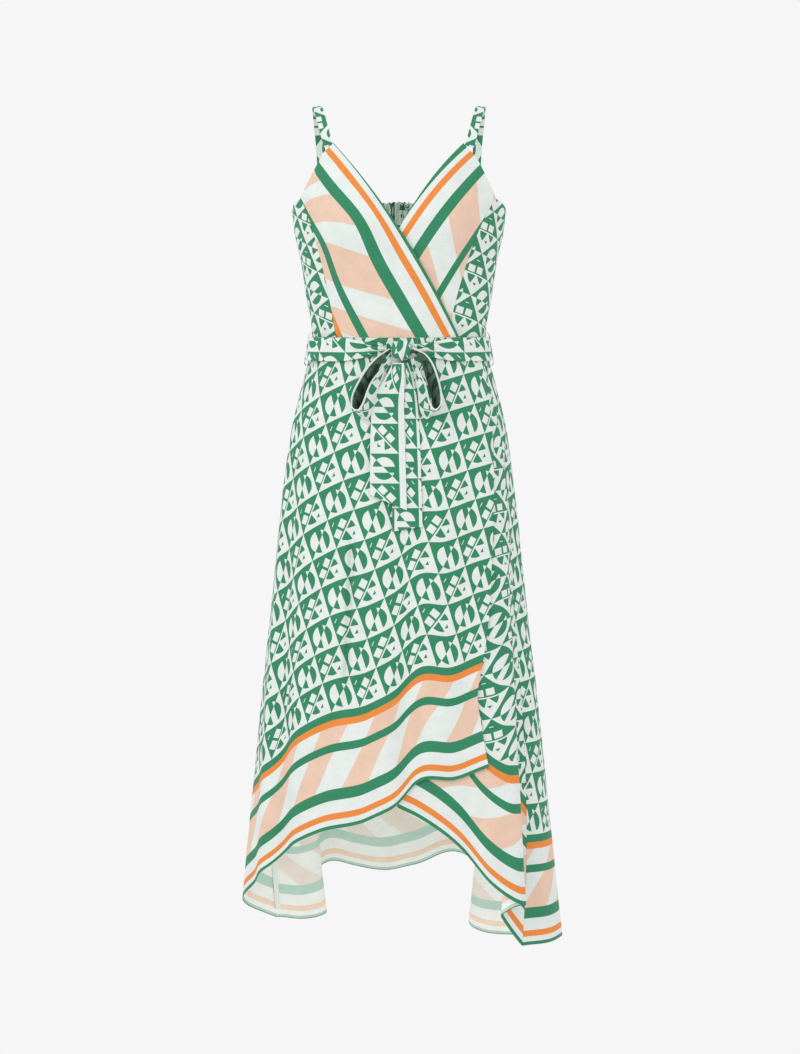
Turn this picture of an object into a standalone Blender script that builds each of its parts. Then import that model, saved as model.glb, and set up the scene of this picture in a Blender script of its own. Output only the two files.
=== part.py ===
"""Sleeveless wrap dress, hollow, in the form that it takes when it is worn.

Metres, +Z up.  The origin is on the line where the two shoulder straps rest on the shoulders, midway between
them.  The front of the dress faces -Y, and the wearer's left is +X.

The dress is cut from cloth with a border print along one side.  The skirt is a cone, so each of its panels is
laid out first as flat cloth, in polar coordinates (reach from the cone's tip, turn about it), and that flat cloth
is then wrapped round a stack of rings.  A ring is a front and a back half-ellipse, with the folds added to it.
"""

import math

import bmesh
import bpy
import numpy as np

# ---------------------------------------------------------------- driving dimensions
WALL = 0.0012            # cloth
TIE_WALL = 0.0016        # the belt is sewn double
SEAM = 0.0003            # between pieces that are sewn together
OVERLAP_LIFT = 0.0045    # the wrap-over layer lies this far outside the layer under it
BELT_LIFT = 0.0080        # over the wrap
BELT_SIDE_LIFT = 0.0032   # where it lies on one layer

# Heights below are measured from the base of the neck.  The frame's origin is at the tops of the straps, a little
# lower, so each finished piece is raised by this much.
NECK_ABOVE_STRAPS = 0.0085

WAIST_Z = -0.347
BOTTOM_Z = -1.262        # lowest point of the hem, where the folds are deepest

# The body that the cloth hangs on, at heights below the shoulders.
LEVELS = [
    # z, half width, front depth, back depth
    (-0.020, 0.150, 0.058, 0.070),
    (-0.060, 0.162, 0.078, 0.084),
    (-0.110, 0.163, 0.096, 0.094),
    (-0.165, 0.1580, 0.106, 0.098),
    (-0.200, 0.1530, 0.106, 0.096),
    (-0.230, 0.1460, 0.103, 0.092),
    (-0.290, 0.1370, 0.098, 0.086),
    (-0.347, 0.1290, 0.095, 0.084),
    (-0.380, 0.1340, 0.098, 0.089),
    (-0.420, 0.1440, 0.104, 0.100),
    (-0.470, 0.1570, 0.111, 0.113),
    (-0.530, 0.1670, 0.117, 0.123),
    (-0.620, 0.1780, 0.122, 0.131),
    (-0.720, 0.1880, 0.128, 0.137),
    (-0.850, 0.2030, 0.137, 0.146),
    (-1.000, 0.2180, 0.148, 0.158),
    (-1.262, 0.2440, 0.166, 0.178),
]
BUST = {"out": 0.026, "x": 0.076, "z": -0.168, "wide": 0.043, "high": 0.052}

# The skirt's flat pattern.  Each hem is nearly a straight line in the flat cloth, and the back's joins the other two.
CONE = math.radians(55.2)     # what the whole skirt spans when it is opened out flat
WAIST_REACH = 0.768           # from the cone's tip to the waist seam
LEFT_SEAM = -0.290            # side seams, as a share of the way round from the centre front
RIGHT_SEAM = 0.197
HEMS = {
    # panel: (distance of the hem line from the cone's tip, direction of its nearest point in degrees)
    "over": (1.369, 18.8),
    "under": (1.221, -32.5),
}
HEM_DROPS = {
    # panel: rows of share of the way along the hem from the panel's first side, drop below the straight line
    "over": [(0.0, 0.020), (0.13, 0.032), (0.28, 0.032), (0.40, 0.004), (0.50, 0.000), (0.62, 0.010),
             (0.70, 0.003), (0.79, -0.016), (0.88, -0.001), (1.0, -0.004)],
    "under": [(0.0, 0.009), (0.24, 0.000), (0.37, 0.005), (0.51, 0.024), (0.65, 0.022), (0.78, 0.000),
              (1.0, 0.002)],
    "back": [(0.0, 0.000), (0.10, 0.022), (0.20, 0.048), (0.30, 0.070), (0.38, 0.064), (0.50, -0.030),
             (0.60, -0.014), (0.66, -0.008), (0.72, -0.020), (0.77, -0.032), (0.87, 0.010), (0.94, 0.018),
             (1.0, 0.000)],
}
OVER_EDGE_X = 0.146           # the wrap-over panel's front edge, from the centre front line
UNDER_EDGE = [
    # height above the corner (share of the way to the waist), distance from the centre front line
    (0.00, -0.004),
    (0.02, 0.006),
    (0.06, 0.016),
    (0.20, 0.012),
    (1.00, -0.060),
]

# Folds of the skirt.  "ridge" lifts the cloth along a line.  "tuck" pushes it out on one side of the line and in on the
# other, and slides it sideways.  "lap" is a tuck whose push reaches wider, so that the cloth turns back over itself.
SKIRT_FOLDS = [
    # kind, degrees round from the front: top, hem; half width in degrees: top, hem; out, slide (m, at the hem);
    # top z; power
    ("lap", 68.0, 43.5, 5.6, 5.0, 0.020, 0.058, -0.460, 1.00),      # deep tuck beside the right seam
    ("tuck", -76.0, -47.0, 6.0, 5.2, 0.026, 0.000, -0.430, 1.00),   # left front
    ("tuck", -2.0, 1.0, 5.5, 5.2, 0.026, 0.000, -0.560, 1.30),       # centre front
    ("ridge", -28.0, -22.0, 9.0, 9.0, 0.007, 0.000, -0.500, 1.00),
    ("ridge", 30.0, 26.0, 7.0, 5.5, -0.014, 0.000, -0.700, 1.20),    # under the wrap edge
    ("ridge", 104.0, 100.0, 9.0, 9.0, 0.008, 0.000, -0.600, 1.00),
    ("tuck", 130.0, 150.0, 9.0, 8.0, -0.062, 0.034, -0.520, 1.20),   # right back
    ("ridge", 180.0, 180.0, 20.0, 17.0, 0.012, 0.000, -0.520, 1.00), # centre back
    ("tuck", -130.0, -149.0, 9.0, 8.0, 0.062, 0.034, -0.520, 1.20),  # left back
]

COLOURS = {
    "print": (0.05, 0.28, 0.14),
    "tie": (0.10, 0.36, 0.20),
}


# ---------------------------------------------------------------- general helpers
def eased(x, table, column):
    """The table's column at x, smooth between the rows; the first column is x."""
    rows = sorted(table)
    xs = np.array([row[0] for row in rows])
    ys = np.array([row[column] for row in rows])
    slope = np.gradient(ys, xs)
    x = np.clip(np.asarray(x, float), xs[0], xs[-1])
    i = np.clip(np.searchsorted(xs, x) - 1, 0, len(xs) - 2)
    h = xs[i + 1] - xs[i]
    t = (x - xs[i]) / h
    start = (1 + 2 * t) * (1 - t) ** 2 * ys[i] + t * (1 - t) ** 2 * h * slope[i]
    end = t * t * (3 - 2 * t) * ys[i + 1] + t * t * (t - 1) * h * slope[i + 1]
    return start + end


def smooth(x):
    x = np.clip(x, 0.0, 1.0)
    return x * x * (3 - 2 * x)


def bezier(points, t):
    """A quadratic curve through its first and last point, pulled towards the middle one."""
    a, b, c = (np.array(p) for p in points)
    t = np.asarray(t, float)[..., None]
    return (1 - t) ** 2 * a + 2 * t * (1 - t) * b + t * t * c


def material(name, colour, roughness=0.75):
    made = bpy.data.materials.new(name)
    made.use_nodes = True
    shader = made.node_tree.nodes["Principled BSDF"]
    shader.inputs["Base Color"].default_value = (*colour, 1.0)
    shader.inputs["Roughness"].default_value = roughness
    return made


def cloth(name, columns, rows, place, finish, wall=WALL):
    """A sheet of columns by rows, laid where place(u, v) says, and given its thickness inwards and outwards."""
    bm = bmesh.new()
    bmesh.ops.create_grid(bm, x_segments=columns, y_segments=rows, size=0.5)
    grid = np.array([vert.co[:] for vert in bm.verts]) + 0.5
    laid = place(grid[:, 0], 1.0 - grid[:, 1])
    for vert, point in zip(bm.verts, laid):
        vert.co = point + np.array([0.0, 0.0, NECK_ABOVE_STRAPS])
    mesh = bpy.data.meshes.new(name)
    bm.to_mesh(mesh)
    bm.free()
    mesh.shade_smooth()
    mesh.materials.append(finish)
    obj = bpy.data.objects.new(name, mesh)
    dress.objects.link(obj)
    thick = obj.modifiers.new("wall", "SOLIDIFY")
    thick.thickness = wall
    thick.offset = 0.0
    return obj


# ---------------------------------------------------------------- the body's surface
FRONT_FADE = 2.5          # the front's own shapes fade out towards the sides, faster as this grows


def body(angle, z, lift=0.0):
    """The point on the bodice, at an angle in radians from the front, lift outside the surface."""
    wide, front, back = (eased(z, LEVELS, k) for k in (1, 2, 3))
    deep = np.where(np.cos(angle) > 0, front, back)
    x = wide * np.sin(angle)
    y = -deep * np.cos(angle)
    spread = ((np.abs(x) - BUST["x"]) / BUST["wide"]) ** 2 + ((z - BUST["z"]) / BUST["high"]) ** 2
    y = y - np.where(np.cos(angle) > 0, BUST["out"] * np.exp(-spread / 2) * smooth(np.cos(angle) * FRONT_FADE), 0.0)
    outward = np.stack([np.sin(angle) / wide, -np.cos(angle) / deep], axis=-1)
    outward /= np.linalg.norm(outward, axis=-1, keepdims=True)
    lift = np.broadcast_to(lift, np.shape(x))
    return np.stack([x + lift * outward[..., 0], y + lift * outward[..., 1], np.broadcast_to(z, np.shape(x))], -1)


def angle_of(x, z):
    """The angle on the front of the body that has this x at this height."""
    return np.arcsin(np.clip(x / eased(z, LEVELS, 1), -0.999, 0.999))


# ---------------------------------------------------------------- the skirt's rings
RING_STEP = 0.006
LAP_REACH = 1.8
TOP_ROW_SHARE = 0.35
SLIDE_POWER = 2.4         # a fold slides sideways only well below where it starts to push out
RING_POINTS = 1440
TURN_STEP = 0.003         # either side of a point, to find which way the cloth faces there
REACH_STEP = 0.004


def ring(z):
    """One closed ring of the skirt: x, y, and the share of the way round at each point, from the centre front."""
    angle = np.linspace(-math.pi, math.pi, RING_POINTS + 1)
    wide, front, back = (float(eased(z, LEVELS, k)) for k in (1, 2, 3))
    deep = np.where(np.cos(angle) > 0, front, back)
    x, y = wide * np.sin(angle), -deep * np.cos(angle)
    out = np.stack([np.sin(angle) / wide, -np.cos(angle) / deep])
    out /= np.linalg.norm(out, axis=0)
    along = np.stack([-out[1], out[0]])
    for kind, top, hem, wide_top, wide_hem, push, slide, top_z, power in SKIRT_FOLDS:
        grown = np.clip((top_z - z) / (top_z - BOTTOM_Z), 0.0, 1.0)
        centre = math.radians(top + (hem - top) * grown)
        half = math.radians(wide_top + (wide_hem - wide_top) * grown)
        u = (np.mod(angle - centre + math.pi, 2 * math.pi) - math.pi) / half
        reach = LAP_REACH if kind == "lap" else 1.0
        lean = 1.0 if kind == "ridge" else -u
        pushed = push * grown ** power * lean * np.exp(-(u / reach) ** 2 / 2)
        slid = slide * grown ** (SLIDE_POWER * power) * lean * np.exp(-u * u / 2)
        x = x + pushed * out[0] + slid * along[0]
        y = y + pushed * out[1] + slid * along[1]
    step = np.hypot(np.diff(x), np.diff(y))
    length = np.concatenate([[0.0], np.cumsum(step)])
    front_at = length[RING_POINTS // 2]
    return x, y, (length - front_at) / length[-1]


RING_Z = np.arange(WAIST_Z + 0.02, BOTTOM_Z - 0.05, -RING_STEP)
RINGS = [ring(z) for z in RING_Z]


def on_ring(index, share):
    """x and y on ring number index, at a share of the way round."""
    x, y, shares = RINGS[index]
    wrapped = np.mod(share - shares[0], 1.0) + shares[0]
    return np.array([np.interp(wrapped, shares, x), np.interp(wrapped, shares, y)])


def wrapped_point(reach, turn):
    """The flat cloth's point (reach, turn) where it hangs on the rings."""
    z = WAIST_Z - (reach - WAIST_REACH) * math.sqrt(1 - (CONE / (2 * math.pi)) ** 2)
    share = turn / CONE
    at = (RING_Z[0] - z) / RING_STEP
    low = np.clip(np.floor(at).astype(int), 0, len(RING_Z) - 2)
    part = at - low
    points = np.empty((len(z), 3))
    for index in np.unique(low):
        chosen = low == index
        upper, lower = on_ring(index, share[chosen]), on_ring(index + 1, share[chosen])
        points[chosen, :2] = (upper * (1 - part[chosen]) + lower * part[chosen]).T
    points[:, 2] = z
    return points


def skirt_point(reach, turn, lift=0.0):
    """wrapped_point, moved out of the cloth by lift."""
    here = wrapped_point(reach, turn)
    across = wrapped_point(reach, turn + TURN_STEP) - wrapped_point(reach, turn - TURN_STEP)
    down = wrapped_point(reach + REACH_STEP, turn) - wrapped_point(reach - REACH_STEP, turn)
    normal = np.cross(down, across)
    normal /= np.linalg.norm(normal, axis=1, keepdims=True)
    return here + normal * np.broadcast_to(lift, (len(here),))[:, None]


RIGHT_SEAM_TURN = RIGHT_SEAM * CONE
LEFT_SEAM_TURN = LEFT_SEAM * CONE
OVER_CORNER_TURN = math.radians(6.3)
HEM_TURNS = {
    # panel: the turns that its hem runs between
    "over": (LEFT_SEAM_TURN, OVER_CORNER_TURN),
    "under": (0.0, RIGHT_SEAM_TURN),
    "back": (RIGHT_SEAM_TURN, LEFT_SEAM_TURN + CONE),
}


def row_share(v):
    """Rows lie closer together at the top, where the hips curve most."""
    return v * (TOP_ROW_SHARE + (1 - TOP_ROW_SHARE) * v)


def hem_reach(panel, turn):
    """Reach of a panel's hem at a turn."""
    line, direction = HEMS[panel]
    first, last = HEM_TURNS[panel]
    drop = eased((turn - first) / (last - first), HEM_DROPS[panel], 1)
    return line / np.cos(turn - math.radians(direction)) + drop


def line_through(first, second):
    """The line through two (reach, turn) points of the flat cloth, in the form that HEMS holds."""
    (x1, y1), (x2, y2) = ((reach * math.cos(turn), reach * math.sin(turn)) for reach, turn in (first, second))
    distance = (x1 * y2 - x2 * y1) / math.hypot(x2 - x1, y2 - y1)
    return distance, math.degrees(math.atan2(x1 - x2, y2 - y1))


HEMS["back"] = line_through(
    (float(hem_reach("under", RIGHT_SEAM_TURN)), RIGHT_SEAM_TURN),
    (float(hem_reach("over", LEFT_SEAM_TURN)), LEFT_SEAM_TURN + CONE),
)


# ---------------------------------------------------------------- scene
for old in list(bpy.data.objects):
    bpy.data.objects.remove(old, do_unlink=True)
dress = bpy.data.collections.new("wrap_dress")
bpy.context.scene.collection.children.link(dress)
PRINTED = material("printed_crepe", COLOURS["print"])
TIE = material("printed_crepe_tie", COLOURS["tie"])

# ---------------------------------------------------------------- skirt
SKIRT_TOP = WAIST_REACH + SEAM
MIDDLE_REACH = 1.2
SEAM_TURN = 0.5 * SEAM / MIDDLE_REACH      # half a seam's gap as a turn
CORNER_ROUNDS = 20                         # of working out where the straight front edge meets the hem
LIFT_START = 0.15                          # share of the panel's width where it starts to stand off the under layer
LIFT_WIDTH = 0.20


def skirt_over(u, v):
    """Wrap-over front: from the left side seam to its free front edge, which hangs parallel to the centre front."""
    v = row_share(v)
    start = LEFT_SEAM_TURN + SEAM_TURN
    corner_turn = 0.0
    for _ in range(CORNER_ROUNDS):
        corner_turn = math.asin(OVER_EDGE_X / float(hem_reach("over", corner_turn)))
    corner_reach = float(hem_reach("over", corner_turn))
    end = np.arcsin(OVER_EDGE_X / (SKIRT_TOP + v * (corner_reach - SKIRT_TOP)))
    turn = start + u * (end - start)
    hem = hem_reach("over", start + u * (corner_turn - start))
    lift = OVERLAP_LIFT * smooth((u - LIFT_START) / LIFT_WIDTH)
    return skirt_point(SKIRT_TOP + v * (hem - SKIRT_TOP), turn, lift)


def under_edge_turn(share_up):
    """Where the under front's free edge is, as a turn, at a share of the way from its corner to the waist."""
    corner_reach = float(hem_reach("under", 0.0))
    reach = corner_reach + share_up * (SKIRT_TOP - corner_reach)
    table = np.array(UNDER_EDGE)
    return np.arctan2(np.interp(share_up, table[:, 0], table[:, 1]), reach)


def skirt_under(u, v):
    """Under front: from its free edge, hidden by the wrap-over, to the right side seam."""
    v = row_share(v)
    end = RIGHT_SEAM_TURN - SEAM_TURN
    start = under_edge_turn(1.0 - v)
    turn = start + u * (end - start)
    corner = float(under_edge_turn(np.array(0.0)))
    hem = hem_reach("under", corner + u * (end - corner))
    return skirt_point(SKIRT_TOP + v * (hem - SKIRT_TOP), turn)


def skirt_back(u, v):
    """Back: from the right side seam round to the left one."""
    v = row_share(v)
    start = RIGHT_SEAM_TURN + SEAM_TURN
    end = LEFT_SEAM_TURN + CONE - SEAM_TURN
    turn = start + u * (end - start)
    hem = hem_reach("back", turn)
    return skirt_point(SKIRT_TOP + v * (hem - SKIRT_TOP), turn)


cloth("skirt_front_over", 32, 12, skirt_over, PRINTED)
cloth("skirt_front_under", 32, 12, skirt_under, PRINTED)
cloth("skirt_back", 34, 12, skirt_back, PRINTED)

# ---------------------------------------------------------------- bodice
BODICE_END = WAIST_Z + SEAM
BODY_RADIUS = 0.14
SEAM_ANGLE = 0.7 * SEAM / BODY_RADIUS      # a bit over half a seam's gap
SIDE_SEAM = math.radians(95.0)
# Front view curves, as (x, z): start, pull, end.
OVER_NECK = [(-0.0930, -0.067), (0.0150, -0.190), (0.0850, BODICE_END)]
UNDER_NECK = [(0.0930, -0.067), (-0.0060, -0.162), (-0.0660, BODICE_END)]
LEFT_ARMHOLE = [(-0.1130, -0.0870), (-0.1270, -0.112), (-0.1435, -0.144)]
RIGHT_ARMHOLE = [(0.1130, -0.0890), (0.1270, -0.113), (0.1405, -0.145)]
LEFT_PRINCESS = [(-0.1435, -0.144), (-0.115, -0.200), (-0.092, BODICE_END)]
RIGHT_PRINCESS = [(0.1405, -0.145), (0.100, -0.205), (0.070, BODICE_END)]
UNDERARM_Z = -0.168
BACK_NECK_Z = -0.141
BACK_RISE = 1.6               # how steeply the back's top edge climbs from the side seams
BODICE_LIFT_WIDTH = 0.25      # share of the wrap-over's width over which it rises off the under layer
ARMHOLE_SHARE = 0.25          # of a front panel's rows lie beside the armhole, and the rest beside the princess seam


def outer_edge(armhole, princess, v):
    """The outer edge of a wrap front: down the armhole, then down the princess seam."""
    upper = bezier(armhole, np.clip(v / ARMHOLE_SHARE, 0, 1))
    lower = bezier(princess, np.clip((v - ARMHOLE_SHARE) / (1 - ARMHOLE_SHARE), 0, 1))
    return np.where((v < ARMHOLE_SHARE)[:, None], upper, lower)


def wrap_front(neck, armhole, princess, lift):
    def place(u, v):
        """u runs from the outer edge to the neckline, v from the strap to the waist."""
        outer, inner = outer_edge(armhole, princess, v), bezier(neck, v)
        z = outer[:, 1] + u * (inner[:, 1] - outer[:, 1])
        first, last = angle_of(outer[:, 0], outer[:, 1]), angle_of(inner[:, 0], inner[:, 1])
        inset = np.sign(last - first) * SEAM_ANGLE
        return body(first + inset + u * (last - first - inset), z, lift * smooth(u / BODICE_LIFT_WIDTH))

    return place


def side_front(princess, side):
    def place(u, v):
        """u runs from the princess seam to the side seam, v from the armhole to the waist."""
        seam = bezier(princess, v)
        first = angle_of(seam[:, 0], seam[:, 1])
        last = side * SIDE_SEAM
        seam_z = UNDERARM_Z + v * (BODICE_END - UNDERARM_Z)
        z = seam[:, 1] + u * (seam_z - seam[:, 1])
        inset = SEAM_ANGLE * side
        return body(first + inset + u * (last - first - 2 * inset), z)

    return place


def back_neck_z(share):
    """Height of the back's top edge, a share of the way from one side seam to the other."""
    return UNDERARM_Z + (BACK_NECK_Z - UNDERARM_Z) * smooth(BACK_RISE * np.minimum(share, 1 - share))


def back_angle(u):
    start = SIDE_SEAM + SEAM_ANGLE
    return start + u * (2 * math.pi - 2 * start)


def bodice_back(u, v):
    top = back_neck_z(u)
    return body(back_angle(u), top + v * (BODICE_END - top))


cloth("bodice_front_over", 12, 12, wrap_front(OVER_NECK, LEFT_ARMHOLE, LEFT_PRINCESS, OVERLAP_LIFT), PRINTED)
cloth("bodice_front_under", 10, 12, wrap_front(UNDER_NECK, RIGHT_ARMHOLE, RIGHT_PRINCESS, 0.0), PRINTED)
cloth("bodice_side_right", 4, 9, side_front(LEFT_PRINCESS, -1.0), PRINTED)
cloth("bodice_side_left", 4, 9, side_front(RIGHT_PRINCESS, 1.0), PRINTED)
cloth("bodice_back", 16, 9, bodice_back, PRINTED)

# ---------------------------------------------------------------- straps
STRAP_WIDTH = 0.0135
STRAP_STEP = 0.01             # share of the strap either side of a point, to find its direction
STRAP_INSIDE = -WALL - SEAM   # the strap is sewn on inside the front
STRAP_INSIDE_BACK = 2 * STRAP_INSIDE - 0.0004
STRAP_ROUTE = [
    # share of the way, x, y, z: the strap's middle line, from the front point over the shoulder to the back
    (0.00, 0.1020, -0.0700, -0.0710),
    (0.12, 0.1085, -0.0600, -0.0480),
    (0.26, 0.1145, -0.0440, -0.0260),
    (0.36, 0.1185, -0.0260, -0.0132),
    (0.45, 0.1210, -0.0060, -0.0091),
    (0.54, 0.1215, 0.0160, -0.0128),
    (0.66, 0.1205, 0.0400, -0.0300),
    (0.82, 0.1175, 0.0600, -0.0700),
    (1.00, 0.1130, 0.0680, -0.1560),
]


def strap(side):
    table = [list(row) for row in STRAP_ROUTE]
    front, back = table[0], table[-1]
    start = body(angle_of(side * front[1], front[3]), np.array(front[3]), STRAP_INSIDE)
    front[2] = float(start[1])
    back_turn = math.pi - math.asin(back[1] / float(eased(back[3], LEVELS, 1)))
    end = body(np.array(back_turn), np.array(back[3]), STRAP_INSIDE_BACK)
    back[2] = float(end[1])

    def place(u, v):
        middle = np.stack([eased(v, table, k) for k in (1, 2, 3)], axis=-1)
        ahead = np.stack([eased(np.minimum(v + STRAP_STEP, 1.0), table, k) for k in (1, 2, 3)], axis=-1)
        behind = np.stack([eased(np.maximum(v - STRAP_STEP, 0.0), table, k) for k in (1, 2, 3)], axis=-1)
        tangent = ahead - behind
        tangent /= np.linalg.norm(tangent, axis=1, keepdims=True)
        across = np.array([1.0, 0.0, 0.0]) - tangent * tangent[:, :1]
        across /= np.linalg.norm(across, axis=1, keepdims=True)
        point = middle + across * ((u - 0.5) * STRAP_WIDTH)[:, None]
        point[:, 0] *= side
        return point

    return place


cloth("strap_right", 1, 18, strap(-1.0), PRINTED)
cloth("strap_left", 1, 18, strap(1.0), PRINTED)

# ---------------------------------------------------------------- tie belt, knot and bow
BELT_TOP = -0.3475
BELT_BOTTOM = -0.3815
KNOT = {"x": 0.003, "z": -0.3645, "half_wide": 0.0120, "half_high": 0.0135, "half_deep": 0.0090}
BELT_AT_KNOT = 0.0075         # half of the belt's height where it goes into the knot
BELT_START = math.radians(7.5)
BELT_BUNCH = math.radians(32.0)       # how far round from the knot it is bunched
BELT_BUNCH_LIFT = 0.0015


def belt(u, v):
    """The tie round the waist, bunched together where it goes into the knot."""
    turn = BELT_START + u * (2 * math.pi - 2 * BELT_START)
    near = np.minimum(turn, 2 * math.pi - turn)
    full = smooth((near - BELT_START) / BELT_BUNCH)
    top = KNOT["z"] + BELT_AT_KNOT + full * (BELT_TOP - KNOT["z"] - BELT_AT_KNOT)
    bottom = KNOT["z"] - BELT_AT_KNOT + full * (BELT_BOTTOM - KNOT["z"] + BELT_AT_KNOT)
    lift = BELT_SIDE_LIFT + (BELT_LIFT - BELT_SIDE_LIFT) * smooth(FRONT_FADE * np.cos(turn))
    return body(turn, top + v * (bottom - top), lift + BELT_BUNCH_LIFT * (1 - full))


cloth("belt", 40, 1, belt, TIE, TIE_WALL)

WAIST_FRONT = float(eased(KNOT["z"], LEVELS, 2)) + BELT_LIFT     # how far the belt stands in front of the middle
KNOT_SUNK = 0.002
KNOT_Y = -WAIST_FRONT - KNOT["half_deep"] + KNOT_SUNK
KNOT_SQUARE = 0.25            # 0 is a ball, and 1 a block


def knot():
    bm = bmesh.new()
    bmesh.ops.create_uvsphere(bm, u_segments=16, v_segments=10, radius=1.0)
    for vert in bm.verts:
        squared = vert.co / max(abs(c) for c in vert.co) * KNOT_SQUARE + vert.co * (1 - KNOT_SQUARE)
        vert.co = (squared[0] * KNOT["half_wide"] + KNOT["x"],
                   squared[1] * KNOT["half_deep"] + KNOT_Y,
                   squared[2] * KNOT["half_high"] + KNOT["z"] + NECK_ABOVE_STRAPS)
    mesh = bpy.data.meshes.new("bow_knot")
    bm.to_mesh(mesh)
    bm.free()
    mesh.shade_smooth()
    mesh.materials.append(TIE)
    dress.objects.link(bpy.data.objects.new("bow_knot", mesh))


knot()

LOOP_WIDTH = 0.030
LOOP_PINCH = 0.25             # share of that width where the loop goes into the knot
LOOP_OPENS = 0.30             # share of its length over which it spreads out
LOOP_ROUTES = {
    # name: rows of share of the way round the loop, x, z, in front of the body
    "bow_loop_right": [
        (0.00, -0.0112, -0.3640, 0.0180),
        (0.12, -0.0240, -0.3770, 0.0215),
        (0.28, -0.0430, -0.4060, 0.0245),
        (0.42, -0.0570, -0.4370, 0.0245),
        (0.50, -0.0570, -0.4520, 0.0240),
        (0.58, -0.0480, -0.4570, 0.0240),
        (0.68, -0.0400, -0.4480, 0.0240),
        (0.82, -0.0300, -0.4150, 0.0220),
        (1.00, -0.0108, -0.3765, 0.0145),
    ],
    "bow_loop_left": [
        (0.00, 0.0176, -0.3640, 0.0180),
        (0.12, 0.0330, -0.3730, 0.0215),
        (0.28, 0.0480, -0.4000, 0.0245),
        (0.42, 0.0570, -0.4320, 0.0245),
        (0.50, 0.0570, -0.4480, 0.0240),
        (0.58, 0.0480, -0.4560, 0.0240),
        (0.68, 0.0380, -0.4470, 0.0240),
        (0.82, 0.0310, -0.4150, 0.0220),
        (1.00, 0.0172, -0.3765, 0.0145),
    ],
}
LOOP_TILT = math.radians(32.0)     # the loops' front edges are raised by this


def bow_loop(rows):
    def place(u, v):
        x, z, forward = (eased(v, rows, k) for k in (1, 2, 3))
        gathered = LOOP_PINCH + (1 - LOOP_PINCH) * smooth(np.minimum(v, 1 - v) / LOOP_OPENS)
        offset = (u - 0.5) * LOOP_WIDTH * gathered
        centre = body(angle_of(x, z), z, forward)
        return centre + offset[:, None] * np.array([0.0, -math.cos(LOOP_TILT), math.sin(LOOP_TILT)])

    return place


for loop_name, loop_rows in LOOP_ROUTES.items():
    cloth(loop_name, 2, 18, bow_loop(loop_rows), TIE, TIE_WALL)

TAILS = {
    # name: rows of share down, left x, right x, z at the left, z at the right, in front of the body
    "bow_tail_right": [
        (0.00, -0.0080, 0.0060, -0.3830, -0.3830, 0.0150),
        (0.15, -0.0180, 0.0080, -0.4030, -0.4030, 0.0120),
        (0.35, -0.0350, 0.0070, -0.4350, -0.4350, 0.0092),
        (0.60, -0.0390, 0.0080, -0.4800, -0.4850, 0.0096),
        (1.00, -0.0400, 0.0110, -0.5730, -0.5950, 0.0102),
    ],
    "bow_tail_left": [
        (0.00, 0.0010, 0.0120, -0.3830, -0.3830, 0.0100),
        (0.15, 0.0000, 0.0190, -0.4030, -0.4030, 0.0078),
        (0.35, -0.0020, 0.0250, -0.4350, -0.4350, 0.0062),
        (0.60, -0.0080, 0.0290, -0.4900, -0.4900, 0.0068),
        (1.00, -0.0095, 0.0330, -0.6260, -0.6190, 0.0075),
    ],
}


def bow_tail(rows):
    def place(u, v):
        left, right, z_left, z_right, forward = (eased(v, rows, k) for k in (1, 2, 3, 4, 5))
        x, z = left + u * (right - left), z_left + u * (z_right - z_left)
        return body(angle_of(x, z), z, forward)

    return place


for tail_name, tail_rows in TAILS.items():
    cloth(tail_name, 3, 12, bow_tail(tail_rows), TIE, TIE_WALL)

# ---------------------------------------------------------------- belt loops
CARRIER_HALF_WIDTH = math.radians(1.6)
CARRIER = [
    # share of the way down, z, in front of the body
    (0.00, -0.3400, 0.0020),
    (0.10, -0.3430, 0.0045),
    (0.30, -0.3500, 0.0058),
    (0.70, -0.3800, 0.0058),
    (0.90, -0.3870, 0.0048),
    (1.00, -0.3895, 0.0022),
]
CARRIER_TURNS = {"belt_loop_right": -89.0, "belt_loop_left": 88.0}


def belt_loop(turn):
    def place(u, v):
        z, forward = eased(v, CARRIER, 1), eased(v, CARRIER, 2)
        return body(math.radians(turn) + (2 * u - 1) * CARRIER_HALF_WIDTH, z, forward)

    return place


for carrier_name, carrier_turn in CARRIER_TURNS.items():
    cloth(carrier_name, 1, 10, belt_loop(carrier_turn), TIE)
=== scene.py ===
"""Looks of the sleeveless wrap dress: printed viscose crepe, cut, sewn and tied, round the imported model's frame.

Metres, +Z up.  The origin is midway between the tops of the shoulder straps.  The front faces -Y, and the wearer's
left is +X.  Heights inside the shape functions are measured from the base of the neck, a little above the origin.
"""

import math

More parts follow.
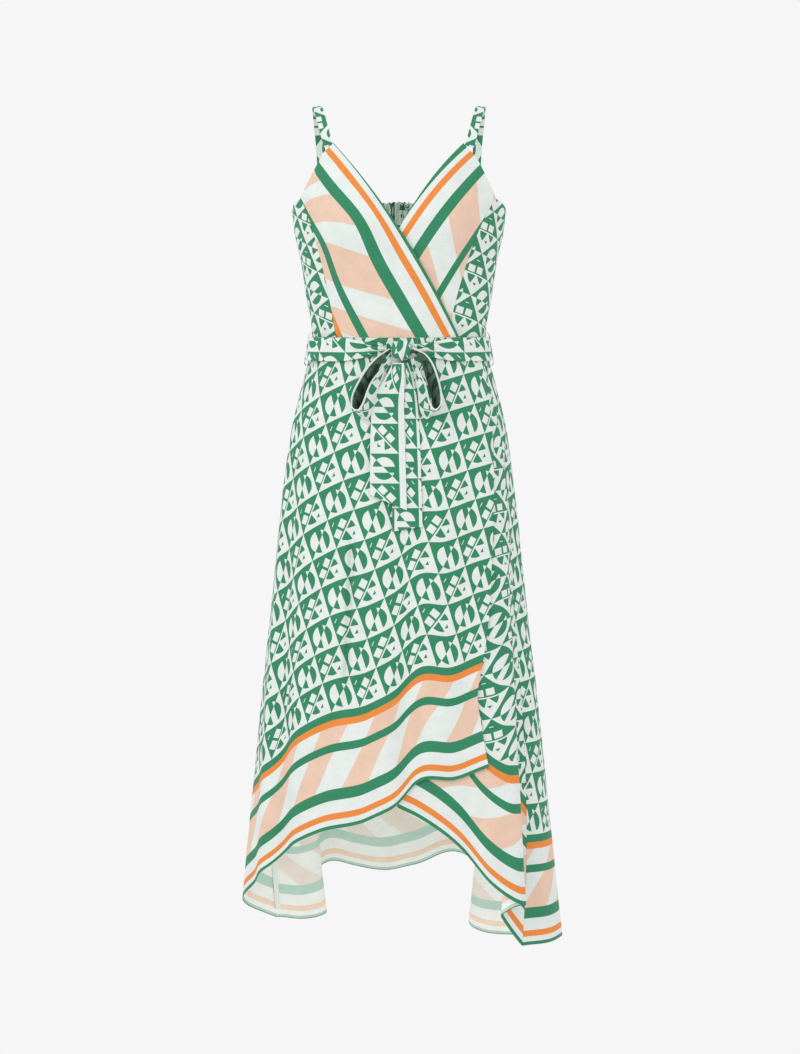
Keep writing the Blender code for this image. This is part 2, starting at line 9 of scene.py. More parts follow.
import bmesh
import bpy
import numpy as np
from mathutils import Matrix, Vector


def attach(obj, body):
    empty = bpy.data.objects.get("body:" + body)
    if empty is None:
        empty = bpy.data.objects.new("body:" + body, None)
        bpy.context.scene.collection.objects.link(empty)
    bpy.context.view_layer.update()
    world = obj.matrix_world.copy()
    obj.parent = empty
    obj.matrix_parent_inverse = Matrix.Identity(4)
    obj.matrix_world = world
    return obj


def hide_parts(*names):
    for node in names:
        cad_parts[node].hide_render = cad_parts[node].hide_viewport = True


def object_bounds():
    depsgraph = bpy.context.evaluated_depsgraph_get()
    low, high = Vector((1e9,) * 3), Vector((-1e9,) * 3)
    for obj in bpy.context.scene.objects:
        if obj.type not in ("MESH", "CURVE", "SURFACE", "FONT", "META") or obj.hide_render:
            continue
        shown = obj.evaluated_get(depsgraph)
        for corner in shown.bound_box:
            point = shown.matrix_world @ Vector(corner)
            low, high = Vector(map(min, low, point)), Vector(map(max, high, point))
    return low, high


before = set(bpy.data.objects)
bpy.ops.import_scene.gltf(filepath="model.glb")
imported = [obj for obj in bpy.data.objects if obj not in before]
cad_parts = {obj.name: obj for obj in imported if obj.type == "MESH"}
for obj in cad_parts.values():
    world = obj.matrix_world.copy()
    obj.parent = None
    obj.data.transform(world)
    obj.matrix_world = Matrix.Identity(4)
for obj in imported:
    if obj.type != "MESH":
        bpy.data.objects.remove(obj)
CAD_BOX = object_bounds()
SCENE = bpy.context.scene


# ---------------------------------------------------------------- studio
# A pale seamless floor in an evenly lit pale room, one wide soft lamp high in front on the wearer's right, and a
# weaker one on the other side.  The camera stands at chest height and looks slightly down.
CAMERA_PLACE = (0.0015, -3.5, -0.2915)
CAMERA_PITCH = math.radians(90.0 - 5.41)
CAMERA_LENS_MM = 80.05
FLOOR_BELOW_HEM = 0.30
FLOOR_SIZE = 60.0
LAMPS_AIM = (0.0, 0.0, -0.55)
PALE = "#f6f6f6"


def linear(hex_colour):
    """An sRGB hex colour as the linear numbers that a shader takes."""
    parts = [int(hex_colour[i:i + 2], 16) / 255 for i in (1, 3, 5)]
    return (*[c / 12.92 if c <= 0.04045 else ((c + 0.055) / 1.055) ** 2.4 for c in parts], 1.0)


def add(tree, kind, *inputs, **settings):
    """Adds a node with its settings, fills its inputs in order with sockets or values, and returns its output."""
    made = tree.nodes.new("ShaderNode" + kind)
    for name, value in settings.items():
        setattr(made, name, value)
    for socket, value in zip([s for s in made.inputs if s.enabled], inputs):
        if isinstance(value, bpy.types.NodeSocket):
            tree.links.new(value, socket)
        elif value is not None:
            socket.default_value = value
    return next(s for s in made.outputs if s.enabled)


camera = bpy.data.objects.new("camera", bpy.data.cameras.new("camera"))
camera.data.lens = CAMERA_LENS_MM
camera.data.sensor_width = 36.0
camera.location = CAMERA_PLACE
camera.rotation_euler = (CAMERA_PITCH, 0.0, 0.0)
SCENE.collection.objects.link(camera)
SCENE.camera = camera
SCENE.view_settings.view_transform = "Standard"

room = bpy.data.worlds.new("pale_room")
room.use_nodes = True
room.node_tree.nodes["Background"].inputs["Color"].default_value = linear(PALE)
SCENE.world = room

painted = bpy.data.materials.new("painted_floor")
painted.use_nodes = True
painted_shader = painted.node_tree.nodes["Principled BSDF"]
painted_shader.inputs["Base Color"].default_value = linear("#000000")
painted_shader.inputs["Specular IOR Level"].default_value = 0.0
painted_shader.inputs["Emission Color"].default_value = linear(PALE)
painted_shader.inputs["Emission Strength"].default_value = 1.0
shape = bmesh.new()
bmesh.ops.create_grid(shape, x_segments=1, y_segments=1, size=FLOOR_SIZE / 2)
bmesh.ops.translate(shape, verts=shape.verts, vec=(0.0, 0.0, CAD_BOX[0][2] - FLOOR_BELOW_HEM))
floor = bpy.data.objects.new("floor", bpy.data.meshes.new("floor"))
shape.to_mesh(floor.data)
shape.free()
floor.data.materials.append(painted)
SCENE.collection.objects.link(floor)

for lamp_name, lamp_place, lamp_size, lamp_watts in (
    ("key_lamp", (-1.6, -2.6, 1.3), 1.6, 24.0),
    ("fill_lamp", (2.0, -2.4, 0.2), 1.6, 3.0),
):
    lamp = bpy.data.lights.new(lamp_name, "AREA")
    lamp.size = lamp_size
    lamp.energy = lamp_watts
    hung = bpy.data.objects.new(lamp_name, lamp)
    hung.location = lamp_place
    aim = np.array(LAMPS_AIM) - np.array(lamp_place)
    hung.rotation_euler = (math.acos(-aim[2] / np.linalg.norm(aim)), 0.0, math.atan2(aim[1], aim[0]) - math.pi / 2)
    SCENE.collection.objects.link(hung)


# ---------------------------------------------------------------- skirt front, wrapped over
# The wrap-over front of the skirt, one panel of a cone from the wearer's right side seam to a free front edge,
# with the border print along its hem.  The hem is rolled narrow and stitched.
WALL = 0.0012            # cloth
SEAM = 0.0003            # between pieces that are sewn together
OVERLAP_LIFT = 0.0045    # the wrap-over layer lies this far outside the layer under it
NECK_ABOVE_STRAPS = 0.0085
WAIST_Z = -0.347
BOTTOM_Z = -1.262        # lowest point of the hem, where the folds are deepest
LEVELS = [
    # the body that the cloth hangs on: z, half width, front depth, back depth
    (-0.020, 0.150, 0.058, 0.070),
    (-0.060, 0.162, 0.078, 0.084),
    (-0.110, 0.163, 0.096, 0.094),
    (-0.165, 0.1580, 0.106, 0.098),
    (-0.200, 0.1530, 0.106, 0.096),
    (-0.230, 0.1460, 0.103, 0.092),
    (-0.290, 0.1370, 0.098, 0.086),
    (-0.347, 0.1290, 0.095, 0.084),
    (-0.380, 0.1340, 0.098, 0.089),
    (-0.420, 0.1440, 0.104, 0.100),
    (-0.470, 0.1570, 0.111, 0.113),
    (-0.530, 0.1670, 0.117, 0.123),
    (-0.620, 0.1780, 0.122, 0.131),
    (-0.720, 0.1880, 0.128, 0.137),
    (-0.850, 0.2030, 0.137, 0.146),
    (-1.000, 0.2180, 0.148, 0.158),
    (-1.262, 0.2440, 0.166, 0.178),
]
CONE = math.radians(55.2)     # what the whole skirt spans when it is opened out flat
WAIST_REACH = 0.768           # from the cone's tip to the waist seam
RIGHT_SEAM = -0.290            # side seams, as a share of the way round from the centre front
LEFT_SEAM = 0.197
HEMS = {
    # panel: (distance of the hem line from the cone's tip, direction of its nearest point in degrees)
    "over": (1.369, 18.8),
    "under": (1.221, -32.5),
}
HEM_DROPS = {
    # panel: rows of share of the way along the hem from the panel's first side, drop below the straight line
    "over": [(0.0, 0.020), (0.13, 0.032), (0.28, 0.032), (0.40, 0.004), (0.50, 0.000), (0.62, 0.010),
             (0.70, 0.003), (0.79, -0.016), (0.88, -0.001), (1.0, -0.004)],
    "under": [(0.0, 0.009), (0.24, 0.000), (0.37, 0.005), (0.51, 0.024), (0.65, 0.022), (0.78, 0.000),
              (1.0, 0.002)],
    "back": [(0.0, 0.000), (0.10, 0.022), (0.20, 0.048), (0.30, 0.078), (0.38, 0.074), (0.50, -0.030),
             (0.60, -0.014), (0.66, -0.008), (0.72, -0.020), (0.77, -0.032), (0.87, 0.010), (0.94, 0.018),
             (1.0, 0.000)],
}
OVER_EDGE_X = 0.146
OVER_EDGE_WAVE = [
    # share of the way down the free front edge, how far it swings to the wearer's left
    (0.00, 0.000), (0.55, 0.000), (0.63, -0.001), (0.70, -0.006), (0.76, -0.012), (0.81, -0.018),
    (0.85, -0.019), (0.88, -0.015), (0.935, -0.009), (0.98, -0.003), (1.00, 0.000),
]
SKIRT_FOLDS = [
    # kind, degrees round from the front: top, hem; half width in degrees: top, hem; out, slide (m, at the hem);
    # top z; power
    ("lap", 68.0, 43.5, 5.6, 5.0, 0.020, 0.058, -0.460, 1.00),
    ("tuck", -76.0, -47.0, 6.0, 5.2, 0.019, 0.000, -0.430, 1.00),
    ("tuck", -2.0, 1.0, 5.5, 5.2, 0.033, 0.000, -0.560, 1.80),
    ("ridge", -28.0, -22.0, 9.0, 9.0, 0.007, 0.000, -0.500, 1.00),
    ("ridge", 30.0, 26.0, 7.0, 5.5, -0.014, 0.000, -0.700, 1.20),
    ("ridge", 104.0, 100.0, 9.0, 9.0, 0.008, 0.000, -0.600, 1.00),
    ("tuck", 130.0, 150.0, 9.0, 8.0, -0.062, 0.034, -0.520, 1.20),
    ("ridge", 180.0, 180.0, 20.0, 17.0, 0.012, 0.000, -0.520, 1.00),
    ("tuck", -130.0, -149.0, 9.0, 8.0, 0.062, 0.034, -0.520, 1.20),
]
RING_STEP = 0.006
LAP_REACH = 1.8
SLIDE_POWER = 2.4
RING_POINTS = 2880
TOP_ROW_SHARE = 0.60

# Border print, from the hem upwards: where each stripe ends, and its ink ("blocks" are pink and white in turn).
BORDER = [
    (0.0012, "edge"), (0.0048, "green"), (0.0125, "white"), (0.0212, "orange"), (0.0385, "white"), (0.0540, "green"),
    (0.1050, "blocks"), (0.1163, "green"), (0.1394, "blocks"), (0.1490, "orange"), (0.1605, "green"),
]
FIELD_START = BORDER[-1][0]
CELL = 0.0447            # one square of the print above the border
CELL_SHIFT = 0.29        # of a square, between the blocks of the border and the squares above them
GRAIN = 0.0016           # the crepe's pebbled grain, drawn about twice as coarse as it is so that it shows
BLOTCHES = 45.0          # patches of stronger dye to the metre
STITCH = 0.0028
STITCH_UP = 0.0041       # from the edge of the hem
STITCH_HALF_WIDTH = 0.00035
STITCH_SHARE = 0.72      # of the spacing, that a stitch covers

# The two motifs, in shares of a square.  Along is measured up the diagonal, and rise away from it.
DISC_MIDDLE, DISC_RADIUS = (0.5, 0.47, 0.0), 0.38
DISC_BAR = (0.54, 0.10)                        # middle and half width
WINDOWS = [
    # middle and half length along, middle and half height of rise
    (0.64, 0.20, 0.205, 0.155),
    (1.17, 0.20, 0.225, 0.155),
    (0.92, 0.11, 0.630, 0.018),
]
WHEEL_MIDDLE, WHEEL_RADIUS, WHEEL_EDGE = (0.5, 0.5, 0.0), 0.37, -0.06
SECTOR_EDGE = (-0.325, 0.6625)                 # slope and start of the line between the wheel's sectors
WEDGE_EDGE, WEDGE_ACROSS, WEDGE_UP = -0.40, (0.71, 0.07), (0.32, 0.07)


def crepe(name, green, orange, pink, white, edge=None, glow=0.0):
    """Viscose crepe, woven from overtwisted yarn: matt and softly pebbled.  The print is drawn on the UV map
    "print", whose u runs along the border and whose v is the distance from the edge, in metres.  The glow it may be
    given is painted light: an even emission in the print's own colours, standing in for the light that comes through
    the thin cloth to its wrong side."""
    made = bpy.data.materials.new(name)
    made.use_nodes = True
    tree = made.node_tree
    inks = {"edge": linear(edge or green), "green": linear(green), "orange": linear(orange), "pink": linear(pink),
            "white": linear(white)}
    split = add(tree, "SeparateXYZ", add(tree, "UVMap", uv_map="print")).node
    p, q = split.outputs[0], split.outputs[1]

    # Stripes of the border.  The ramp's alpha is 0 where the stripe is made of blocks.
    stripes = add(tree, "ValToRGB", add(tree, "Math", q, FIELD_START, operation="DIVIDE")).node
    ramp = stripes.color_ramp
    ramp.interpolation = "CONSTANT"
    start = 0.0
    for number, (end, ink) in enumerate(BORDER):
        stop = ramp.elements[number] if number < 2 else ramp.elements.new(start / FIELD_START)
        stop.position = start / FIELD_START
        stop.color = (*inks["white" if ink == "blocks" else ink][:3], 0.0 if ink == "blocks" else 1.0)
        start = end
    slant = add(tree, "Math", add(tree, "Math", p, q, operation="SUBTRACT"), 2 * CELL, operation="DIVIDE")
    pink_turn = add(tree, "Math", add(tree, "Math", slant, operation="FRACT"), 0.5, operation="LESS_THAN")
    pink_part = add(tree, "Math", pink_turn, stripes.outputs["Alpha"], operation="GREATER_THAN")
    border = add(tree, "Mix", pink_part, stripes.outputs["Color"], inks["pink"], data_type="RGBA")

    # Squares above the border, with motif A and motif B in turn.  s and t run across and up one square.
    columns = add(tree, "Math", p, 1.0 / CELL, CELL_SHIFT, operation="MULTIPLY_ADD")
    rows = add(tree, "Math", add(tree, "Math", q, FIELD_START, operation="SUBTRACT"), CELL, operation="DIVIDE")
    s = add(tree, "Math", columns, operation="FRACT")
    t = add(tree, "Math", rows, operation="FRACT")
    square = add(tree, "Math", add(tree, "Math", columns, operation="FLOOR"),
                 add(tree, "Math", rows, operation="FLOOR"), operation="ADD")
    half_square = add(tree, "Math", square, 0.5, operation="MULTIPLY")
    is_b = add(tree, "Math", add(tree, "Math", half_square, operation="FRACT"), 0.25, operation="LESS_THAN")
    place = add(tree, "CombineXYZ", s, t)
    above = add(tree, "Math", t, s, operation="GREATER_THAN")
    along = add(tree, "Math", s, t, operation="ADD")
    rise = add(tree, "Math", t, s, operation="SUBTRACT")

    # B: a disc with an upright bar through it, its inks exchanged with the ground's.
    disc_far = add(tree, "VectorMath", place, DISC_MIDDLE, operation="DISTANCE")
    disc = add(tree, "Math", disc_far, DISC_RADIUS, operation="LESS_THAN")
    bar = add(tree, "Math", s, *DISC_BAR, operation="COMPARE")
    exchanged = add(tree, "Math", disc, bar, operation="GREATER_THAN")
    green_b = add(tree, "Math", above, exchanged, 0.5, operation="COMPARE")
    green_b = add(tree, "Math", 1.0, green_b, operation="SUBTRACT")

    # A: two windows and a dash in the green half, and a half disc of two sectors and a wedge in the white half.
    light = None
    for middle_along, half_along, middle_rise, half_rise in WINDOWS:
        window = add(tree, "Math", add(tree, "Math", along, middle_along, half_along, operation="COMPARE"),
                     add(tree, "Math", rise, middle_rise, half_rise, operation="COMPARE"), operation="MULTIPLY")
        light = window if light is None else add(tree, "Math", light, window, operation="MAXIMUM")
    upper = add(tree, "Math", above, light, operation="GREATER_THAN")
    wheel_far = add(tree, "VectorMath", place, WHEEL_MIDDLE, operation="DISTANCE")
    wheel = add(tree, "Math", wheel_far, WHEEL_RADIUS, operation="LESS_THAN")
    lower = add(tree, "Math", rise, WHEEL_EDGE, operation="LESS_THAN")
    first = add(tree, "Math", t, WHEEL_MIDDLE[1], operation="GREATER_THAN")
    second_edge = add(tree, "Math", t, *SECTOR_EDGE, operation="MULTIPLY_ADD")
    second = add(tree, "Math", s, second_edge, operation="LESS_THAN")
    sector = add(tree, "Math", first, second, operation="MAXIMUM")
    half_wheel = add(tree, "Math", add(tree, "Math", wheel, lower, operation="MULTIPLY"), sector,
                     operation="MULTIPLY")
    wedge = add(tree, "Math", add(tree, "Math", rise, WEDGE_EDGE, operation="LESS_THAN"),
                add(tree, "Math", s, *WEDGE_ACROSS, operation="COMPARE"), operation="MULTIPLY")
    wedge = add(tree, "Math", wedge, add(tree, "Math", t, *WEDGE_UP, operation="COMPARE"), operation="MULTIPLY")
    green_a = add(tree, "Math", add(tree, "Math", upper, half_wheel, operation="MAXIMUM"), wedge,
                  operation="MAXIMUM")
    green_part = add(tree, "Mix", is_b, green_a, green_b, data_type="FLOAT")
    field = add(tree, "Mix", green_part, inks["white"], inks["green"], data_type="RGBA")
    in_field = add(tree, "Math", q, FIELD_START, operation="GREATER_THAN")
    printed = add(tree, "Mix", in_field, border, field, data_type="RGBA")

    # Dye takes a little unevenly on the pebbled yarn, and a row of stitches holds the narrow hem.
    where = add(tree, "TexCoord").node.outputs["Object"]
    pebble = add(tree, "TexNoise", where, 1.0 / GRAIN, 2.0, 0.6)
    blotch = add(tree, "TexNoise", where, BLOTCHES, 3.0, 0.6)
    mottle = add(tree, "Math", pebble, blotch, operation="ADD")
    shade = add(tree, "MapRange", mottle, 0.7, 1.3, 0.93, 1.06)
    stitch_line = add(tree, "Math", q, STITCH_UP, STITCH_HALF_WIDTH, operation="COMPARE")
    stitch_turn = add(tree, "Math", add(tree, "Math", p, STITCH, operation="DIVIDE"), operation="FRACT")
    stitch = add(tree, "Math", stitch_line, add(tree, "Math", stitch_turn, STITCH_SHARE, operation="LESS_THAN"),
                 operation="MULTIPLY")
    thread = add(tree, "Math", stitch, -0.18, shade, operation="MULTIPLY_ADD")
    coloured = add(tree, "VectorMath", printed, thread, operation="SCALE")
    height = add(tree, "Math", stitch, -1.5, pebble, operation="MULTIPLY_ADD")
    bump = add(tree, "Bump", 0.35, 0.0003, None, height)

    shader = tree.nodes["Principled BSDF"]
    tree.links.new(coloured, shader.inputs["Base Color"])
    tree.links.new(bump, shader.inputs["Normal"])
    shader.inputs["Roughness"].default_value = 0.78
    shader.inputs["IOR"].default_value = 1.45
    shader.inputs["Specular IOR Level"].default_value = 0.25
    shader.inputs["Sheen Weight"].default_value = 0.06
    shader.inputs["Sheen Roughness"].default_value = 0.5
    # Painted light: the glow is an emission in the print's own colours, a stand-in for light through the thin cloth.
    if glow:
        tree.links.new(coloured, shader.inputs["Emission Color"])
        shader.inputs["Emission Strength"].default_value = glow
    return made


CREPE = crepe("printed_viscose_crepe", "#348561", "#e98a3f", "#e6c5af", "#e0e6e2")
# The wrong side: the print shows through it paler, and a faint painted glow stands in for the light that comes through
# the thin cloth.
CREPE_INSIDE_PAINTED_GLOW = crepe("printed_viscose_crepe_wrong_side_painted_glow", "#bcd8cb", "#f3d9c4", "#efe3d8", "#f3f5f0", "#3f7a5e", 0.075)
CREPE_SHADE = crepe("printed_viscose_crepe_in_shade", "#2f6d50", "#a8622c", "#a08878", "#bccbc2")
CREPE_DEEP = crepe("printed_viscose_crepe_in_deep_shade", "#1f4533", "#7a4820", "#5c5047", "#55705f")
CREPE_PLAIN = crepe("plain_viscose_crepe", "#e0e6e2", "#e0e6e2", "#e0e6e2", "#e0e6e2")


def eased(x, table, column):
    """The table's column at x, smooth between the rows; the first column is x."""
    rows = sorted(table)
    xs = np.array([row[0] for row in rows])
    ys = np.array([row[column] for row in rows])
    slope = np.gradient(ys, xs)
    x = np.clip(np.asarray(x, float), xs[0], xs[-1])
    i = np.clip(np.searchsorted(xs, x) - 1, 0, len(xs) - 2)
    h = xs[i + 1] - xs[i]
    t = (x - xs[i]) / h
    start = (1 + 2 * t) * (1 - t) ** 2 * ys[i] + t * (1 - t) ** 2 * h * slope[i]
    end = t * t * (3 - 2 * t) * ys[i + 1] + t * t * (t - 1) * h * slope[i + 1]
    return start + end


def smooth(x):
    """Rises gently from 0 to 1 as x does."""
    x = np.clip(x, 0.0, 1.0)
    return x * x * (3 - 2 * x)


def ring(z):
    """One closed ring of the skirt: x, y, and the share of the way round at each point, from the centre front."""
    angle = np.linspace(-math.pi, math.pi, RING_POINTS + 1)
    wide, front, back = (float(eased(z, LEVELS, k)) for k in (1, 2, 3))
    deep = np.where(np.cos(angle) > 0, front, back)
    x, y = wide * np.sin(angle), -deep * np.cos(angle)
    out = np.stack([np.sin(angle) / wide, -np.cos(angle) / deep])
    out /= np.linalg.norm(out, axis=0)
    along = np.stack([-out[1], out[0]])
    for kind, top, hem, wide_top, wide_hem, push, slide, top_z, power in SKIRT_FOLDS:
        grown = np.clip((top_z - z) / (top_z - BOTTOM_Z), 0.0, 1.0)
        centre = math.radians(top + (hem - top) * grown)
        half = math.radians(wide_top + (wide_hem - wide_top) * grown)
        u = (np.mod(angle - centre + math.pi, 2 * math.pi) - math.pi) / half
        reach = LAP_REACH if kind == "lap" else 1.0
        lean = 1.0 if kind == "ridge" else -u
        pushed = push * grown ** power * lean * np.exp(-(u / reach) ** 2 / 2)
        slid = slide * grown ** (SLIDE_POWER * power) * lean * np.exp(-u * u / 2)
        x = x + pushed * out[0] + slid * along[0]
        y = y + pushed * out[1] + slid * along[1]
    step = np.hypot(np.diff(x), np.diff(y))
    length = np.concatenate([[0.0], np.cumsum(step)])
    return x, y, (length - length[RING_POINTS // 2]) / length[-1]


RING_Z = np.arange(WAIST_Z + 0.02, BOTTOM_Z - 0.05, -RING_STEP)
RINGS = [ring(z) for z in RING_Z]


def wrapped_point(reach, turn):
    """The flat cloth's point (reach, turn) where it hangs on the rings."""
    z = WAIST_Z - (reach - WAIST_REACH) * math.sqrt(1 - (CONE / (2 * math.pi)) ** 2)
    share = turn / CONE
    at = (RING_Z[0] - z) / RING_STEP
    low = np.clip(np.floor(at).astype(int), 0, len(RING_Z) - 2)
    part = at - low
    points = np.empty((len(z), 3))
    for index in np.unique(low):
        chosen = low == index
        ends = []
        for x, y, shares in (RINGS[index], RINGS[index + 1]):
            wrapped = np.mod(share[chosen] - shares[0], 1.0) + shares[0]
            ends.append(np.array([np.interp(wrapped, shares, x), np.interp(wrapped, shares, y)]))
        points[chosen, :2] = (ends[0] * (1 - part[chosen]) + ends[1] * part[chosen]).T
    points[:, 2] = z
    return points


CREASES = [
    # Fine creases, seen from the front: x at the top and the bottom, z at the top and the bottom, half width, out.
    (-0.066, -0.079, -0.600, -0.900, 0.0038, -0.0080),
    (-0.056, -0.066, -0.600, -0.900, 0.0060, 0.0030),
    (-0.130, -0.148, -0.520, -1.020, 0.0080, 0.0022),
    (0.008, 0.010, -0.620, -1.000, 0.0070, -0.0020),
    (0.050, 0.055, -0.450, -0.800, 0.0090, 0.0018),
    (0.095, 0.100, -0.520, -0.960, 0.0080, -0.0018),
    (-0.030, -0.026, -0.700, -1.060, 0.0100, 0.0020),
    (-0.100, -0.112, -0.420, -0.760, 0.0090, -0.0016),
    (0.118, 0.122, -0.400, -0.700, 0.0070, 0.0014),
]
CRUMPLE = np.random.default_rng(11).uniform(-1.0, 1.0, (14, 4))
CRUMPLE_WIDE, CRUMPLE_LONG = 0.030, 0.16       # sizes of the unevenness across and down
CRUMPLE_SKIRT = 0.0022
CRUMPLE_BODICE = 0.0016
CREASE_END = 0.25                              # share of a crease's length over which it fades at each end


def crumpled(x, z, height):
    """Soft unevenness of cloth that has been handled, mostly drawn out downwards."""
    total = np.zeros_like(x)
    for across, down, phase, part in CRUMPLE:
        total += part * np.sin(2 * math.pi * (across * x / CRUMPLE_WIDE + down * z / CRUMPLE_LONG) + 6.0 * phase)
    return height * total / len(CRUMPLE)


TURN_STEP, REACH_STEP = 0.002, 0.004           # between the points that a normal is taken from


def skirt_point(reach, turn, lift=0.0):
    """wrapped_point with the fine creases, moved out of the cloth by lift."""
    here = wrapped_point(reach, turn)
    across = wrapped_point(reach, turn + TURN_STEP) - wrapped_point(reach, turn - TURN_STEP)
    down = wrapped_point(reach + REACH_STEP, turn) - wrapped_point(reach - REACH_STEP, turn)
    normal = np.cross(down, across)
    normal /= np.linalg.norm(normal, axis=1, keepdims=True)
    x, y, z = here.T
    fine = np.zeros(len(x))
    for x_top, x_end, z_top, z_end, half, out in CREASES:
        part = (z - z_top) / (z_end - z_top)
        fades = smooth(part / CREASE_END) * smooth((1.0 - part) / CREASE_END)
        fine += out * fades * np.exp(-((x - x_top - (x_end - x_top) * part) / half) ** 2 / 2)
    fine = np.where(y < 0, fine, 0.5 * fine) + crumpled(x, z, CRUMPLE_SKIRT) * smooth((WAIST_Z - z) / 0.12)
    return here + normal * (np.broadcast_to(lift, (len(here),)) + fine)[:, None]


LEFT_SEAM_TURN = LEFT_SEAM * CONE
RIGHT_SEAM_TURN = RIGHT_SEAM * CONE
OVER_CORNER_TURN = math.radians(6.3)
HEM_TURNS = {
    # panel: the turns that its hem runs between
    "over": (RIGHT_SEAM_TURN, OVER_CORNER_TURN),
    "under": (0.0, LEFT_SEAM_TURN),
    "back": (LEFT_SEAM_TURN, RIGHT_SEAM_TURN + CONE),
}
SKIRT_TOP = WAIST_REACH + SEAM
MIDDLE_REACH = 1.2
SEAM_TURN = 0.5 * SEAM / MIDDLE_REACH      # half a seam's gap as a turn, at the middle of the skirt


def row_share(v):
    """Rows lie closer together at the top, where the hips curve most."""
    return v * (TOP_ROW_SHARE + (1 - TOP_ROW_SHARE) * v)


def hem_reach(panel, turn):
    """Reach of a panel's hem at a turn."""
    line, direction = HEMS[panel]
    first, last = HEM_TURNS[panel]
    drop = eased((turn - first) / (last - first), HEM_DROPS[panel], 1)
    return line / np.cos(turn - math.radians(direction)) + drop


def line_through(first, second):
    """The line through two (reach, turn) points of the flat cloth, in the form that HEMS holds."""
    (x1, y1), (x2, y2) = ((reach * math.cos(turn), reach * math.sin(turn)) for reach, turn in (first, second))
    distance = (x1 * y2 - x2 * y1) / math.hypot(x2 - x1, y2 - y1)
    return distance, math.degrees(math.atan2(x1 - x2, y2 - y1))


HEMS["back"] = line_through(
    (float(hem_reach("under", LEFT_SEAM_TURN)), LEFT_SEAM_TURN),
    (float(hem_reach("over", RIGHT_SEAM_TURN)), RIGHT_SEAM_TURN + CONE),
)
HEM_CURVE_UP, HEM_CURVE_FADE = 0.12, 0.50      # where the print stops following the hem's curve, and over how far
PRINT_SHIFT = {"over": 0.065, "under": 0.0, "back": 0.0}     # where the squares were cut, along the border
BLOCKS = {
    # Where edges of the border's blocks fall: along minus up from the hem, on the panel and then in the print.
    "over": [(-1.0, -0.935), (1.0, 1.065)],
    "under": [(0.5000, 0.5498), (0.7705, 0.7599), (0.8324, 0.8046), (0.8986, 0.8493), (1.4, 1.2)],
    "back": [(-1.0, -1.0), (1.0, 1.0)],
}


def in_print(along, up, shift, blocks):
    """Place in the print, where the squares are shifted along it, and the blocks of the border have their own."""
    table = np.array(blocks)
    slant = np.interp(along - up, table[:, 0], table[:, 1]) - (along - up + shift)
    in_border = smooth((FIELD_START - up) / (FIELD_START - BORDER[-3][0]))
    return np.stack([along + shift + slant * in_border, up], axis=-1)


def skirt_print(panel, reach, turn):
    """Place in the print: along the border, and up from the hem.  The hem's curve fades out of it above the border."""
    away = turn - math.radians(HEMS[panel][1])
    up = (hem_reach(panel, turn) - reach) * np.cos(away)
    drop = hem_reach(panel, turn) * np.cos(away) - HEMS[panel][0]
    up = up - drop * smooth((up - HEM_CURVE_UP) / HEM_CURVE_FADE)
    return in_print(reach * np.sin(away), up, PRINT_SHIFT[panel], BLOCKS[panel])


def cloth(name, columns, rows, place, wall=WALL, inside=None, plain_from=2.0):
    """A sheet of columns by rows that place(u, v) lays out as points and places in the print, given its thickness.
    Its right side is turned away from the dress's upright axis, and the cloth is left plain where u is past
    plain_from."""
    grid = bmesh.new()
    layer = grid.loops.layers.uv.new("print")
    bmesh.ops.create_grid(grid, x_segments=columns, y_segments=rows, size=0.5)
    flat = np.array([vert.co[:] for vert in grid.verts]) + 0.5
    laid, printed = place(flat[:, 0], 1.0 - flat[:, 1])
    laid = laid + np.array([0.0, 0.0, NECK_ABOVE_STRAPS])
    for vert, point in zip(grid.verts, laid):
        vert.co = point
    grid.normal_update()
    if sum(face.normal.x * face.calc_center_median().x + face.normal.y * face.calc_center_median().y
           for face in grid.faces) < 0:
        bmesh.ops.reverse_faces(grid, faces=grid.faces)
    for face in grid.faces:
        face.smooth = True
        if sum(flat[vert.index, 0] for vert in face.verts) / 4 > plain_from:
            face.material_index = 2
        for loop in face.loops:
            loop[layer].uv = printed[loop.vert.index]
    for edge in grid.edges:
        edge.smooth = not edge.is_boundary
    made = bpy.data.objects.new(name, bpy.data.meshes.new(name))
    grid.to_mesh(made.data)
    grid.free()
    for finish in (CREPE, inside or CREPE_INSIDE_PAINTED_GLOW, CREPE_PLAIN, CREPE_PLAIN):
        made.data.materials.append(finish)
    thick = made.modifiers.new("wall", "SOLIDIFY")
    thick.thickness = wall
    thick.offset = 0.0
    thick.material_offset = 1
    SCENE.collection.objects.link(made)
    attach(made, "root")
    return made


CORNER_ROUNDS = 20                     # enough for the corner of the front edge and the hem to settle
LIFT_START, LIFT_WIDTH = 0.15, 0.20    # share of the way across where the wrap-over rises off the layer under it


def over_front(u, v):
    """From the right side seam to the free front edge, which hangs parallel to the centre front."""
    v = row_share(v)
    start = RIGHT_SEAM_TURN + SEAM_TURN
    corner_turn = 0.0
    for _ in range(CORNER_ROUNDS):
        corner_turn = math.asin(OVER_EDGE_X / float(hem_reach("over", corner_turn)))
    corner_reach = float(hem_reach("over", corner_turn))
    edge_x = OVER_EDGE_X + eased(v, OVER_EDGE_WAVE, 1)
    end = np.arcsin(edge_x / (SKIRT_TOP + v * (corner_reach - SKIRT_TOP)))
    turn = start + u * (end - start)
    hem = hem_reach("over", start + u * (corner_turn - start))
    reach = SKIRT_TOP + v * (hem - SKIRT_TOP)
    lift = OVERLAP_LIFT * smooth((u - LIFT_START) / LIFT_WIDTH)
    return skirt_point(reach, turn, lift), skirt_print("over", reach, turn)


skirt_over = cloth("skirt_wrap_over", 200, 150, over_front)
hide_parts("skirt_front_over")


